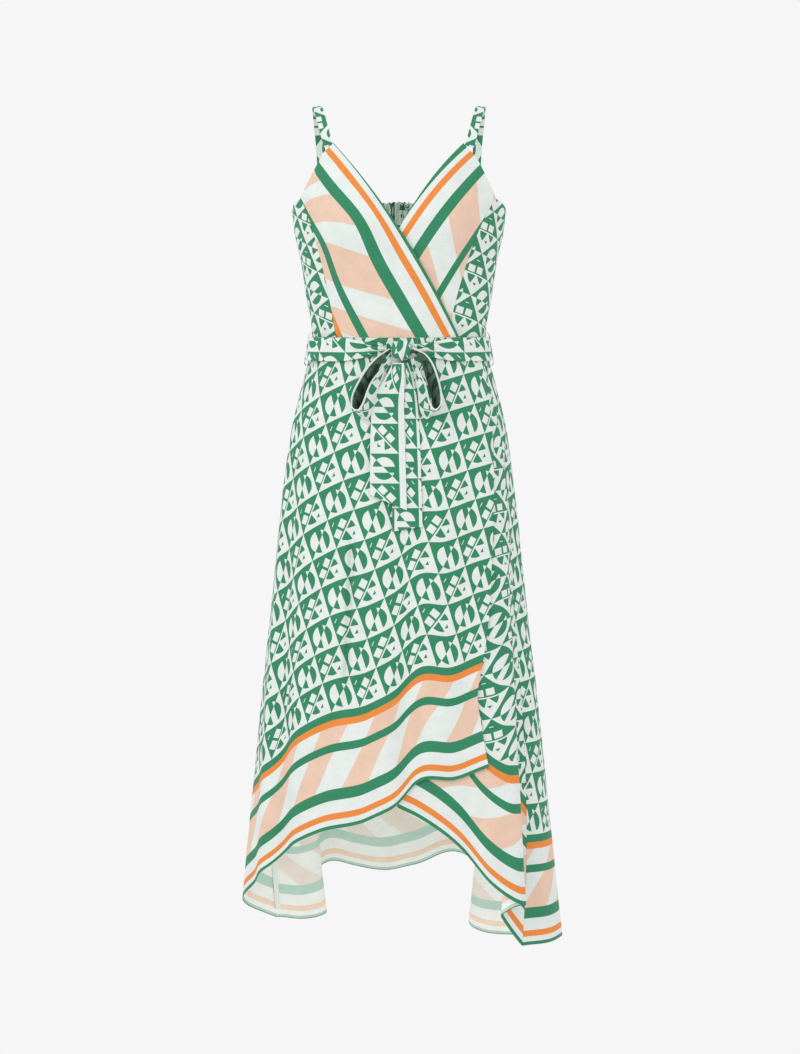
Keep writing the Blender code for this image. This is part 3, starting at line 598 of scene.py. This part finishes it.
# ---------------------------------------------------------------- skirt front, underneath
# The under front of the skirt, from its free edge behind the wrap-over to the wearer's left side seam.  Its border
# runs steeply down to the side, so the same print is turned on it.
UNDER_EDGE = [
    # height above the corner (share of the way to the waist), distance from the centre front line
    (0.00, -0.004),
    (0.02, 0.006),
    (0.06, 0.016),
    (0.20, 0.012),
    (1.00, -0.060),
]


def under_edge_turn(share_up):
    """Where the under front's free edge is, as a turn, at a share of the way from its corner to the waist."""
    corner_reach = float(hem_reach("under", 0.0))
    reach = corner_reach + share_up * (SKIRT_TOP - corner_reach)
    table = np.array(UNDER_EDGE)
    return np.arctan2(np.interp(share_up, table[:, 0], table[:, 1]), reach)


def under_front(u, v):
    v = row_share(v)
    end = LEFT_SEAM_TURN - SEAM_TURN
    start = under_edge_turn(1.0 - v)
    turn = start + u * (end - start)
    corner = float(under_edge_turn(np.array(0.0)))
    hem = hem_reach("under", corner + u * (end - corner))
    reach = SKIRT_TOP + v * (hem - SKIRT_TOP)
    return skirt_point(reach, turn), skirt_print("under", reach, turn)


skirt_under = cloth("skirt_wrap_under", 140, 150, under_front)
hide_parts("skirt_front_under")


# ---------------------------------------------------------------- skirt back
# The back of the skirt, one panel from side seam to side seam, whose hem drops towards both seams and rises in the
# middle.  Its paler wrong side, which carries a faint painted glow, shows under the front hem.
def back_panel(u, v):
    v = row_share(v)
    start = LEFT_SEAM_TURN + SEAM_TURN
    end = RIGHT_SEAM_TURN + CONE - SEAM_TURN
    turn = start + u * (end - start)
    hem = hem_reach("back", turn)
    reach = SKIRT_TOP + v * (hem - SKIRT_TOP)
    return skirt_point(reach, turn), skirt_print("back", reach, turn)


skirt_back = cloth("skirt_back_panel", 240, 150, back_panel)
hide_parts("skirt_back")


# ---------------------------------------------------------------- side seams of the skirt
# Inside the skirt, the two layers of each side seam are overlocked together in pale polyester thread and pressed to
# the back.  They show as a narrow stitched strip inside the wearer's right seam, under the high front hem.
ALLOWANCE = 0.0090
ALLOWANCE_INSIDE = -0.0024
OVERLOCK_PITCH = 0.0050   # drawn coarser than the real 2.5 mm, so that the loops show
OVERLOCK_SLANT = 0.8
OVERLOCK_HEIGHT = 0.0005
OVERLOCK_GAP = 0.30       # share of the pitch that shows the cloth between the loops
STRIP_FIRST, STRIP_LAST = 0.010, 0.985

# Spun polyester thread, looped over the raw edges: pale and matt, in slanting ridges with the cloth between them.
# A faint painted glow keeps it light where it lies in the shade under the front hem.
OVERLOCK = bpy.data.materials.new("overlocked_polyester_thread_painted_glow")
OVERLOCK.use_nodes = True
thread_tree = OVERLOCK.node_tree
thread_shader = thread_tree.nodes["Principled BSDF"]
thread_shader.inputs["Roughness"].default_value = 0.75
# Painted glow: a faint emission in the thread's pale colour.
thread_shader.inputs["Emission Color"].default_value = linear("#eef2ee")
thread_shader.inputs["Emission Strength"].default_value = 0.09
thread_split = add(thread_tree, "SeparateXYZ", add(thread_tree, "UVMap", uv_map="print")).node
slanting = add(thread_tree, "Math", thread_split.outputs[0], OVERLOCK_SLANT, thread_split.outputs[1],
               operation="MULTIPLY_ADD")
loop_share = add(thread_tree, "Math", add(thread_tree, "Math", slanting, OVERLOCK_PITCH, operation="DIVIDE"),
                 operation="FRACT")
between_loops = add(thread_tree, "Math", loop_share, OVERLOCK_GAP, operation="LESS_THAN")
thread_colour = add(thread_tree, "Mix", between_loops, linear("#f2f4f0"), linear("#9dbfb0"), data_type="RGBA")
thread_tree.links.new(thread_colour, thread_shader.inputs["Base Color"])


def side_seam(turn_at, front):
    """A strip down the inside of a side seam, on the back's side of it."""
    back_turn = turn_at if turn_at > 0 else turn_at + CONE
    hem = min(float(hem_reach(front, turn_at)), float(hem_reach("back", back_turn)))

    def place(u, v):
        reach = SKIRT_TOP + (STRIP_FIRST + (STRIP_LAST - STRIP_FIRST) * v) * (hem - SKIRT_TOP)
        turn = turn_at + math.copysign(1.0, turn_at) * u * ALLOWANCE / reach
        stitch = reach / OVERLOCK_PITCH + OVERLOCK_SLANT * u * ALLOWANCE / OVERLOCK_PITCH
        loops = OVERLOCK_HEIGHT * np.sin(2 * math.pi * stitch)
        return skirt_point(reach, turn, ALLOWANCE_INSIDE + loops), np.stack([u * ALLOWANCE, reach], axis=-1)

    return place


for seam_name, turn_at, front in (("right", RIGHT_SEAM_TURN, "over"), ("left", LEFT_SEAM_TURN, "under")):
    made = cloth(f"side_seam_{seam_name}", 6, 900, side_seam(turn_at, front), plain_from=-1.0)
    made.data.materials[2] = made.data.materials[3] = OVERLOCK


# ---------------------------------------------------------------- bodice fronts
# Two crossed fronts of the same crepe, each cut with the border print along its neckline and shaped by a curved seam
# over the bust.  The wearer's right front is laid over the left one, and both are sewn into the waist seam.
BUST = {"out": 0.026, "x": 0.076, "z": -0.168, "wide": 0.043, "high": 0.052}
BODICE_END = WAIST_Z + SEAM
BODY_RADIUS = 0.14
SEAM_ANGLE = 0.7 * SEAM / BODY_RADIUS      # a bit over half a seam's gap
SIDE_SEAM = math.radians(95.0)
OVER_NECK = [(-0.0930, -0.067), (0.0150, -0.190), (0.0850, BODICE_END)]
UNDER_NECK = [(0.0930, -0.067), (-0.0060, -0.162), (-0.0660, BODICE_END)]
RIGHT_ARMHOLE = [(-0.1130, -0.0870), (-0.1270, -0.112), (-0.1435, -0.144)]
LEFT_ARMHOLE = [(0.1130, -0.0890), (0.1270, -0.113), (0.1405, -0.145)]
RIGHT_PRINCESS = [(-0.1435, -0.144), (-0.115, -0.200), (-0.092, BODICE_END)]
LEFT_PRINCESS = [(0.1405, -0.145), (0.100, -0.205), (0.070, BODICE_END)]
UNDERARM_Z = -0.168
ARMHOLE_SHARE = 0.25       # of the outer edge
BODICE_LIFT_WIDTH = 0.25   # share of the way across where the wrap-over rises off the layer under it


def bezier(points, t):
    """A quadratic curve through its first and last point, pulled towards the middle one."""
    a, b, c = (np.array(p) for p in points)
    t = np.asarray(t, float)[..., None]
    return (1 - t) ** 2 * a + 2 * t * (1 - t) * b + t * t * c


def body(angle, z, lift=0.0):
    """The point on the bodice, at an angle in radians from the front, lift outside the surface."""
    wide, front, back = (eased(z, LEVELS, k) for k in (1, 2, 3))
    deep = np.where(np.cos(angle) > 0, front, back)
    x = wide * np.sin(angle)
    y = -deep * np.cos(angle)
    spread = ((np.abs(x) - BUST["x"]) / BUST["wide"]) ** 2 + ((z - BUST["z"]) / BUST["high"]) ** 2
    y = y - np.where(np.cos(angle) > 0, BUST["out"] * np.exp(-spread / 2) * smooth(np.cos(angle) * 2.5), 0.0)
    outward = np.stack([np.sin(angle) / wide, -np.cos(angle) / deep], axis=-1)
    outward /= np.linalg.norm(outward, axis=-1, keepdims=True)
    lift = np.broadcast_to(lift, np.shape(x))
    return np.stack([x + lift * outward[..., 0], y + lift * outward[..., 1], np.broadcast_to(z, np.shape(x))], -1)


def angle_of(x, z):
    """The angle on the front of the body that has this x at this height."""
    return np.arcsin(np.clip(x / eased(z, LEVELS, 1), -0.999, 0.999))


def unrolled(angle, z):
    """The bodice's surface laid flat: the way round from the centre front, and the height."""
    mean = 0.5 * (eased(z, LEVELS, 1) + eased(z, LEVELS, 2))
    return np.stack([angle * mean, np.broadcast_to(z, np.shape(angle))], axis=-1)


def outer_edge(armhole, princess, v):
    """The outer edge of a wrap front: down the armhole, then down the princess seam."""
    upper = bezier(armhole, np.clip(v / ARMHOLE_SHARE, 0, 1))
    lower = bezier(princess, np.clip((v - ARMHOLE_SHARE) / (1 - ARMHOLE_SHARE), 0, 1))
    return np.where((v < ARMHOLE_SHARE)[:, None], upper, lower)


def from_line(line, points):
    """How far along a line of points, and how far from it, each of the points lies."""
    starts, steps = line[:-1], np.diff(line, axis=0)
    lengths = np.linalg.norm(steps, axis=1)
    before = np.concatenate([[0.0], np.cumsum(lengths)[:-1]])
    gaps = points[:, None, :] - starts[None]
    share = np.clip((gaps * steps).sum(axis=2) / lengths ** 2, 0.0, 1.0)
    far = np.linalg.norm(gaps - share[..., None] * steps, axis=2)
    nearest = np.argmin(far, axis=1)
    picked = np.arange(len(points))
    return before[nearest] + share[picked, nearest] * lengths[nearest], far[picked, nearest]


NECK_SLANT = 0.75                      # how much the blocks turn towards the armhole near the strap
NECK_SLANT_END, NECK_SLANT_FADE = 0.12, 0.10
NECK_SLANT_MIDDLE = 0.054              # how far from the neckline the turned blocks stay in place
NECK_FULL = (0.008, 0.11, 0.045)       # cloth eased in over the bust: how much, where along, and over how far
NECK_BLOCKS = {
    # Where edges of the blocks fall beside each neckline: along minus away from it, and then in the print.
    "over": [(-0.4500, -0.4264), (-0.3365, -0.3129), (-0.2870, -0.2682), (-0.2160, -0.2235), (-0.1700, -0.1788),
             (-0.1140, -0.1341), (-0.0907, -0.0894), (0.1, 0.1)],
    "under": [(-0.2, -0.1763), (-0.0237, 0.0), (0.046, 0.0447), (0.096, 0.0894), (0.3, 0.2934)],
}


def wrap_front(neck, armhole, princess, lift):
    """One front.  The border runs along the neckline: on the wrap-over front up it, and on the other down it."""
    curve = bezier(neck, np.linspace(0.0, 1.0, 240))
    line = unrolled(angle_of(curve[:, 0], curve[:, 1]), curve[:, 1])
    upwards = neck[0][0] < 0

    def place(u, v):
        outer, inner = outer_edge(armhole, princess, v), bezier(neck, v)
        z = outer[:, 1] + u * (inner[:, 1] - outer[:, 1])
        first, last = angle_of(outer[:, 0], outer[:, 1]), angle_of(inner[:, 0], inner[:, 1])
        inset = np.sign(last - first) * SEAM_ANGLE
        angle = first + inset + u * (last - first - inset)
        soft = crumpled(np.sin(angle) * 0.1, z, CRUMPLE_BODICE)
        point = body(angle, z, lift * smooth(u / BODICE_LIFT_WIDTH) + soft)
        along, away = from_line(line, unrolled(angle, z))
        if upwards:
            slanted = NECK_SLANT * smooth((NECK_SLANT_END - along) / NECK_SLANT_FADE) * (away - NECK_SLANT_MIDDLE)
            amount, middle, width = NECK_FULL
            full = amount * np.exp(-((along - middle) / width) ** 2) * smooth(away / 0.04)
            up = away + full + 0.004 - 0.003 * smooth(along / 0.20)
            return point, in_print(slanted - along, up, 0.0, NECK_BLOCKS["over"])
        away = np.clip(away - 0.003 + along * (0.06 + away), 0.0, 0.138)
        return point, in_print(along, away, 0.0, NECK_BLOCKS["under"])

    return place


bodice_over = cloth("bodice_wrap_over", 90, 110,
                    wrap_front(OVER_NECK, RIGHT_ARMHOLE, RIGHT_PRINCESS, OVERLAP_LIFT))
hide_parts("bodice_front_over")
bodice_under = cloth("bodice_wrap_under", 90, 110, wrap_front(UNDER_NECK, LEFT_ARMHOLE, LEFT_PRINCESS, 0.0))
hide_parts("bodice_front_under")


# ---------------------------------------------------------------- bodice sides and back
# A narrow side panel under each arm, cut across the print, and a back panel whose top edge is drawn in by elastic.
# They are sewn to the fronts at the princess seams, to each other under the arms, and into the waist seam.
SIDE_TURN = math.radians(28.0)           # of the print on the side panels
SIDE_END = 0.1                           # share of a side panel next to each seam where it lies flat
BACK_NECK_Z = -0.141
FIELD_FAR = FIELD_START + 20 * CELL      # far enough from the border for the turned pieces


def turned_print(points, turn):
    """The field of the print, turned by an angle, for pieces that are cut away from the border."""
    x, z = points[:, 0], points[:, 1]
    return np.stack([x * math.cos(turn) + z * math.sin(turn), z * math.cos(turn) - x * math.sin(turn) + FIELD_FAR],
                    axis=-1)


def side_front(princess, side):
    """A side panel: u runs from the princess seam to the side seam, v from the armhole to the waist."""
    def place(u, v):
        seam = bezier(princess, v)
        first = angle_of(seam[:, 0], seam[:, 1])
        last = side * SIDE_SEAM
        seam_z = UNDERARM_Z + v * (BODICE_END - UNDERARM_Z)
        z = seam[:, 1] + u * (seam_z - seam[:, 1])
        inset = SEAM_ANGLE * side
        angle = first + inset + u * (last - first - 2 * inset)
        soft = crumpled(np.sin(angle) * 0.1 + 0.5, z, CRUMPLE_BODICE)
        soft = soft * smooth(u / SIDE_END) * smooth((1 - u) / SIDE_END)
        return body(angle, z, soft), turned_print(unrolled(angle, z), SIDE_TURN - math.pi / 2)

    return place


bodice_side_right = cloth("bodice_side_panel_right", 40, 90, side_front(RIGHT_PRINCESS, -1.0))
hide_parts("bodice_side_right")
bodice_side_left = cloth("bodice_side_panel_left", 40, 90, side_front(LEFT_PRINCESS, 1.0))
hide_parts("bodice_side_left")

GATHERS = 64
GATHER_DEPTH = 0.0022
GATHER_END = 0.08         # share of the way round over which they fade beside each side seam
GATHER_LEAST = 0.25       # what is left of them at the waist
GATHER_TOP, GATHER_FADE = 0.03, 0.22
FRILL = 0.0010            # how far the elastic's gathers lift and drop the top edge
FOLDED_IN = 0.004         # how much of the print the gathers hide and show
BACK_FULLNESS = 1.5       # cloth to each length of elastic
BACK_RADIUS = 0.11


def gathered_back(u, v):
    """Back of the bodice, in small upright gathers that fade downwards from the elastic in its top edge."""
    start = SIDE_SEAM + SEAM_ANGLE
    angle = start + u * (2 * math.pi - 2 * start)
    fade = smooth(np.minimum(u, 1 - u) / GATHER_END)
    waver = GATHERS * u + 0.35 * np.sin(9.0 * u + 2.0) + 0.25 * np.sin(31.0 * u + 5.0 * v)
    top = UNDERARM_Z + (BACK_NECK_Z - UNDERARM_Z) * smooth(1.6 * np.minimum(u, 1 - u))
    top = top + FRILL * fade * np.sin(2 * math.pi * waver + 1.0)
    z = top + v * (BODICE_END - top)
    held = GATHER_LEAST + (1 - GATHER_LEAST) * np.exp(-((v - GATHER_TOP) / GATHER_FADE) ** 2)
    gather = GATHER_DEPTH * fade * np.sin(2 * math.pi * waver) * held
    folded_in = FOLDED_IN * np.sin(2 * math.pi * waver + 0.5) * np.exp(-v / 0.20)
    flat = np.stack([BACK_FULLNESS * angle * BACK_RADIUS + folded_in, z], axis=-1)
    return body(angle, z, gather), turned_print(flat, 0.0)


bodice_back = cloth("bodice_back_panel", 640, 60, gathered_back,
                    inside=CREPE_SHADE)
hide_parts("bodice_back")


# ---------------------------------------------------------------- shoulder straps
# Two narrow straps, each a tube of the crepe turned right side out and pressed.  Each is sewn on inside the point of
# its front, passes over the shoulder, and is sewn on inside the top edge of the back.
STRAP_WIDTH = 0.0135
STRAP_INSIDE = -WALL - SEAM                      # sewn on inside the front
STRAP_INSIDE_BACK = -2 * (WALL + SEAM) - 0.0004  # and inside the back, clear of its gathers
STRAP_STEP = 0.01                                # share of the way, either side of a point, that gives its direction
STRAP_LENGTH = 0.26
STRAP_ROUTE = [
    # share of the way, x, y, z: the strap's middle line, from the front point over the shoulder to the back
    (0.00, 0.1020, -0.0700, -0.0710),
    (0.12, 0.1085, -0.0600, -0.0480),
    (0.26, 0.1145, -0.0440, -0.0260),
    (0.36, 0.1185, -0.0260, -0.0132),
    (0.45, 0.1210, -0.0060, -0.0091),
    (0.54, 0.1215, 0.0160, -0.0128),
    (0.66, 0.1205, 0.0400, -0.0300),
    (0.82, 0.1175, 0.0600, -0.0700),
    (1.00, 0.1130, 0.0680, -0.1560),
]


def strap(side):
    table = [list(row) for row in STRAP_ROUTE]
    front, back = table[0], table[-1]
    start = body(angle_of(side * front[1], front[3]), np.array(front[3]), STRAP_INSIDE)
    front[2] = float(start[1])
    back_turn = math.pi - math.asin(back[1] / float(eased(back[3], LEVELS, 1)))
    end = body(np.array(back_turn), np.array(back[3]), STRAP_INSIDE_BACK)
    back[2] = float(end[1])

    def place(u, v):
        middle = np.stack([eased(v, table, k) for k in (1, 2, 3)], axis=-1)
        ahead = np.stack([eased(np.minimum(v + STRAP_STEP, 1.0), table, k) for k in (1, 2, 3)], axis=-1)
        behind = np.stack([eased(np.maximum(v - STRAP_STEP, 0.0), table, k) for k in (1, 2, 3)], axis=-1)
        tangent = ahead - behind
        tangent /= np.linalg.norm(tangent, axis=1, keepdims=True)
        across = np.array([1.0, 0.0, 0.0]) - tangent * tangent[:, :1]
        across /= np.linalg.norm(across, axis=1, keepdims=True)
        point = middle + across * ((u - 0.5) * STRAP_WIDTH)[:, None]
        point[:, 0] *= side
        flat = np.stack([(u - 0.5) * STRAP_WIDTH + 0.011, v * STRAP_LENGTH], axis=-1)
        return point, turned_print(flat, math.radians(45.0))

    return place


for strap_name, side in (("right", -1.0), ("left", 1.0)):
    made = cloth(f"shoulder_strap_{strap_name}", 8, 120, strap(side),
                 inside=CREPE)
    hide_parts(f"strap_{strap_name}")


# ---------------------------------------------------------------- tie belt
# A long tie of the crepe, sewn double.  It goes round the waist over the waist seam, through the belt loops, and is
# bunched into the knot in front.
TIE_WALL = 0.0016
BELT_LIFT = 0.0080        # over the wrap
BELT_SIDE_LIFT = 0.0032   # where it lies on one layer
BELT_TOP = -0.3475
BELT_BOTTOM = -0.3815
KNOT = {"x": 0.003, "z": -0.3645, "half_wide": 0.0120, "half_high": 0.0135, "half_deep": 0.0090}
BELT_AT_KNOT = 0.0075              # half its height there
BELT_START = math.radians(7.5)
BELT_BUNCH = math.radians(32.0)    # how far from the knot it is bunched
BELT_BUNCH_DEPTH = 0.0020
BELT_BUNCH_LIFT = 0.0015
BELT_WAVE_DEPTH = 0.0008
BELT_RADIUS = 0.118
BELT_WIDTH = 0.034


def belt(u, v):
    """The tie round the waist, bunched together where it goes into the knot."""
    turn = BELT_START + u * (2 * math.pi - 2 * BELT_START)
    near = np.minimum(turn, 2 * math.pi - turn)
    full = smooth((near - BELT_START) / BELT_BUNCH)
    top = KNOT["z"] + BELT_AT_KNOT + full * (BELT_TOP - KNOT["z"] - BELT_AT_KNOT)
    bottom = KNOT["z"] - BELT_AT_KNOT + full * (BELT_BOTTOM - KNOT["z"] + BELT_AT_KNOT)
    lift = BELT_SIDE_LIFT + (BELT_LIFT - BELT_SIDE_LIFT) * smooth(2.5 * np.cos(turn))
    bunched = BELT_BUNCH_DEPTH * (1 - full) * np.sin(2 * math.pi * (3.0 * v + 0.3 * np.sin(20 * turn)))
    pressed = BELT_WAVE_DEPTH * full * np.sin(2 * math.pi * (1.3 * v + 0.4 * np.sin(5.0 * turn)))
    z = top + v * (bottom - top)
    flat = np.stack([turn * BELT_RADIUS, (1 - v) * BELT_WIDTH], axis=-1)
    lift = lift + BELT_BUNCH_LIFT * (1 - full) + bunched + pressed
    return body(turn, z, lift), turned_print(flat, -math.pi / 2)


belt_tie = cloth("waist_tie", 420, 14, belt, TIE_WALL, CREPE)
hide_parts("belt")


# ---------------------------------------------------------------- knot
# The knot of the bow, a little to the wearer's left of the middle: one turn of the doubled tie, drawn tight round the
# rest in upright folds.
WAIST_FRONT = float(eased(KNOT["z"], LEVELS, 2)) + BELT_LIFT
KNOT_SUNK = 0.002
KNOT_Y = -WAIST_FRONT - KNOT["half_deep"] + KNOT_SUNK
KNOT_RIPPLE = 0.09


def knot_turn(u, v):
    """u across the turn of cloth, v round it, from behind over the top and down the front."""
    round_it = 2 * math.pi * (0.02 + 0.96 * v)
    side = 2 * u - 1
    full = np.sqrt(1 - 0.45 * side ** 2)
    ripple = 1 + KNOT_RIPPLE * np.sin(2 * math.pi * (2.6 * u + 0.15 * np.sin(round_it)))
    y = KNOT_Y + KNOT["half_deep"] * full * ripple * np.cos(round_it)
    z = KNOT["z"] + KNOT["half_high"] * full * ripple * np.sin(round_it)
    x = KNOT["x"] + KNOT["half_wide"] * side * (1 + 0.08 * np.cos(2 * round_it))
    flat = np.stack([0.03 * u, 0.07 * v], axis=-1)
    return np.stack([x, y, z], axis=-1), turned_print(flat, 0.3)


knot = cloth("bow_knot_turn", 30, 60, knot_turn, TIE_WALL, CREPE)
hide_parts("bow_knot")


# ---------------------------------------------------------------- bow loops
# Two soft loops that hang from the knot, each a length of the doubled tie turned back on itself.  Their fronts stand
# open, and their insides are in shade.
LOOP_WIDTH = 0.030
LOOP_PINCH = 0.25         # share of the width that is left at the knot
LOOP_OPENS = 0.30         # share of the way round over which it opens
LOOP_TILT = math.radians(32.0)
LOOP_LEAN = 0.46          # the front edge leans outwards, which shows the loop's dark inside
LOOP_ROUTES = {
    # name: rows of share of the way round the loop, x, z, in front of the body
    "bow_loop_right": [
        (0.00, -0.0112, -0.3640, 0.0180),
        (0.12, -0.0240, -0.3770, 0.0215),
        (0.28, -0.0410, -0.4060, 0.0245),
        (0.42, -0.0545, -0.4370, 0.0245),
        (0.50, -0.0555, -0.4520, 0.0240),
        (0.58, -0.0485, -0.4570, 0.0240),
        (0.68, -0.0415, -0.4480, 0.0240),
        (0.82, -0.0315, -0.4150, 0.0220),
        (1.00, -0.0108, -0.3765, 0.0145),
    ],
    "bow_loop_left": [
        (0.00, 0.0176, -0.3640, 0.0180),
        (0.12, 0.0300, -0.3730, 0.0215),
        (0.28, 0.0410, -0.4000, 0.0245),
        (0.42, 0.0485, -0.4320, 0.0245),
        (0.50, 0.0485, -0.4480, 0.0240),
        (0.58, 0.0420, -0.4560, 0.0240),
        (0.68, 0.0345, -0.4470, 0.0240),
        (0.82, 0.0285, -0.4150, 0.0220),
        (1.00, 0.0172, -0.3765, 0.0145),
    ],
}


def bow_loop(rows):
    def place(u, v):
        x, z, forward = (eased(v, rows, k) for k in (1, 2, 3))
        gathered = LOOP_PINCH + (1 - LOOP_PINCH) * smooth(np.minimum(v, 1 - v) / LOOP_OPENS)
        offset = (u - 0.5) * LOOP_WIDTH * gathered
        centre = body(angle_of(x, z), z, forward)
        leant = np.array([LOOP_LEAN * np.sign(rows[3][1]), -math.cos(LOOP_TILT), math.sin(LOOP_TILT)])
        point = centre + offset[:, None] * leant / np.linalg.norm(leant)
        return point, turned_print(np.stack([u * LOOP_WIDTH, v * 0.2], axis=-1), -math.pi / 2)

    return place


for loop_name, loop_rows in LOOP_ROUTES.items():
    made = cloth(loop_name + "_cloth", 12, 120, bow_loop(loop_rows), TIE_WALL,
                 CREPE_DEEP, 0.91)
    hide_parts(loop_name)


# ---------------------------------------------------------------- bow tails
# The two ends of the doubled tie, cut straight.  They hang down from the knot in front of the skirt, the shorter one
# over the longer one.
TAILS = {
    # name: rows of share down, left x, right x, z at the left, z at the right, in front of the body
    "bow_tail_right": [
        (0.00, -0.0080, 0.0060, -0.3830, -0.3830, 0.0150),
        (0.15, -0.0180, 0.0080, -0.4030, -0.4030, 0.0120),
        (0.35, -0.0350, 0.0070, -0.4350, -0.4350, 0.0092),
        (0.60, -0.0390, 0.0080, -0.4800, -0.4850, 0.0096),
        (1.00, -0.0400, 0.0110, -0.5730, -0.5950, 0.0102),
    ],
    "bow_tail_left": [
        (0.00, 0.0010, 0.0120, -0.3830, -0.3830, 0.0100),
        (0.15, 0.0000, 0.0190, -0.4030, -0.4030, 0.0078),
        (0.35, -0.0020, 0.0250, -0.4350, -0.4350, 0.0062),
        (0.60, -0.0080, 0.0290, -0.4900, -0.4900, 0.0068),
        (1.00, -0.0095, 0.0330, -0.6260, -0.6190, 0.0075),
    ],
}
TAIL_WIDTH = 0.0545
TAIL_FALL = 1.042         # length of cloth to each height, where the tails slant


def bow_tail(rows, side_shift, down_shift):
    def place(u, v):
        left, right, z_left, z_right, forward = (eased(v, rows, k) for k in (1, 2, 3, 4, 5))
        x, z = left + u * (right - left), z_left + u * (z_right - z_left)
        flat = np.stack([u * TAIL_WIDTH + side_shift, TAIL_FALL * z + down_shift], axis=-1)
        return body(angle_of(x, z), z, forward), turned_print(flat, -math.pi / 2)

    return place


for tail_name, cut, shifts, plain_from in (
    ("bow_tail_right", (0.048, 0.210, None), (0.0, 0.01145), 0.82),
    ("bow_tail_left", (0.042, 0.240, None), (-0.004, 0.004), 2.0),
):
    made = cloth(tail_name + "_cloth", 22, 120, bow_tail(TAILS[tail_name], *shifts), TIE_WALL, CREPE,
                 plain_from)
    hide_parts(tail_name)


# ---------------------------------------------------------------- belt loops
# A narrow loop of the same crepe at each side seam, folded double and sewn on above and below the tie, which it
# keeps on the waist.
CARRIER_HALF_WIDTH = math.radians(1.6)
CARRIER = [
    # share of the way down, z, in front of the body
    (0.00, -0.3400, 0.0020),
    (0.10, -0.3430, 0.0045),
    (0.30, -0.3500, 0.0058),
    (0.70, -0.3800, 0.0058),
    (0.90, -0.3870, 0.0048),
    (1.00, -0.3895, 0.0022),
]
CARRIER_WIDTH = 0.008
CARRIER_TURNS = {"belt_loop_right": -89.0, "belt_loop_left": 88.0}


def belt_loop(turn):
    def place(u, v):
        z, forward = eased(v, CARRIER, 1), eased(v, CARRIER, 2)
        angle = math.radians(turn) + (2 * u - 1) * CARRIER_HALF_WIDTH
        return body(angle, z, forward), turned_print(np.stack([u * CARRIER_WIDTH, z], axis=-1), 0.0)

    return place


for carrier_name, carrier_turn in CARRIER_TURNS.items():
    made = cloth(carrier_name + "_cloth", 6, 40, belt_loop(carrier_turn),
                 inside=CREPE)
    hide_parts(carrier_name)
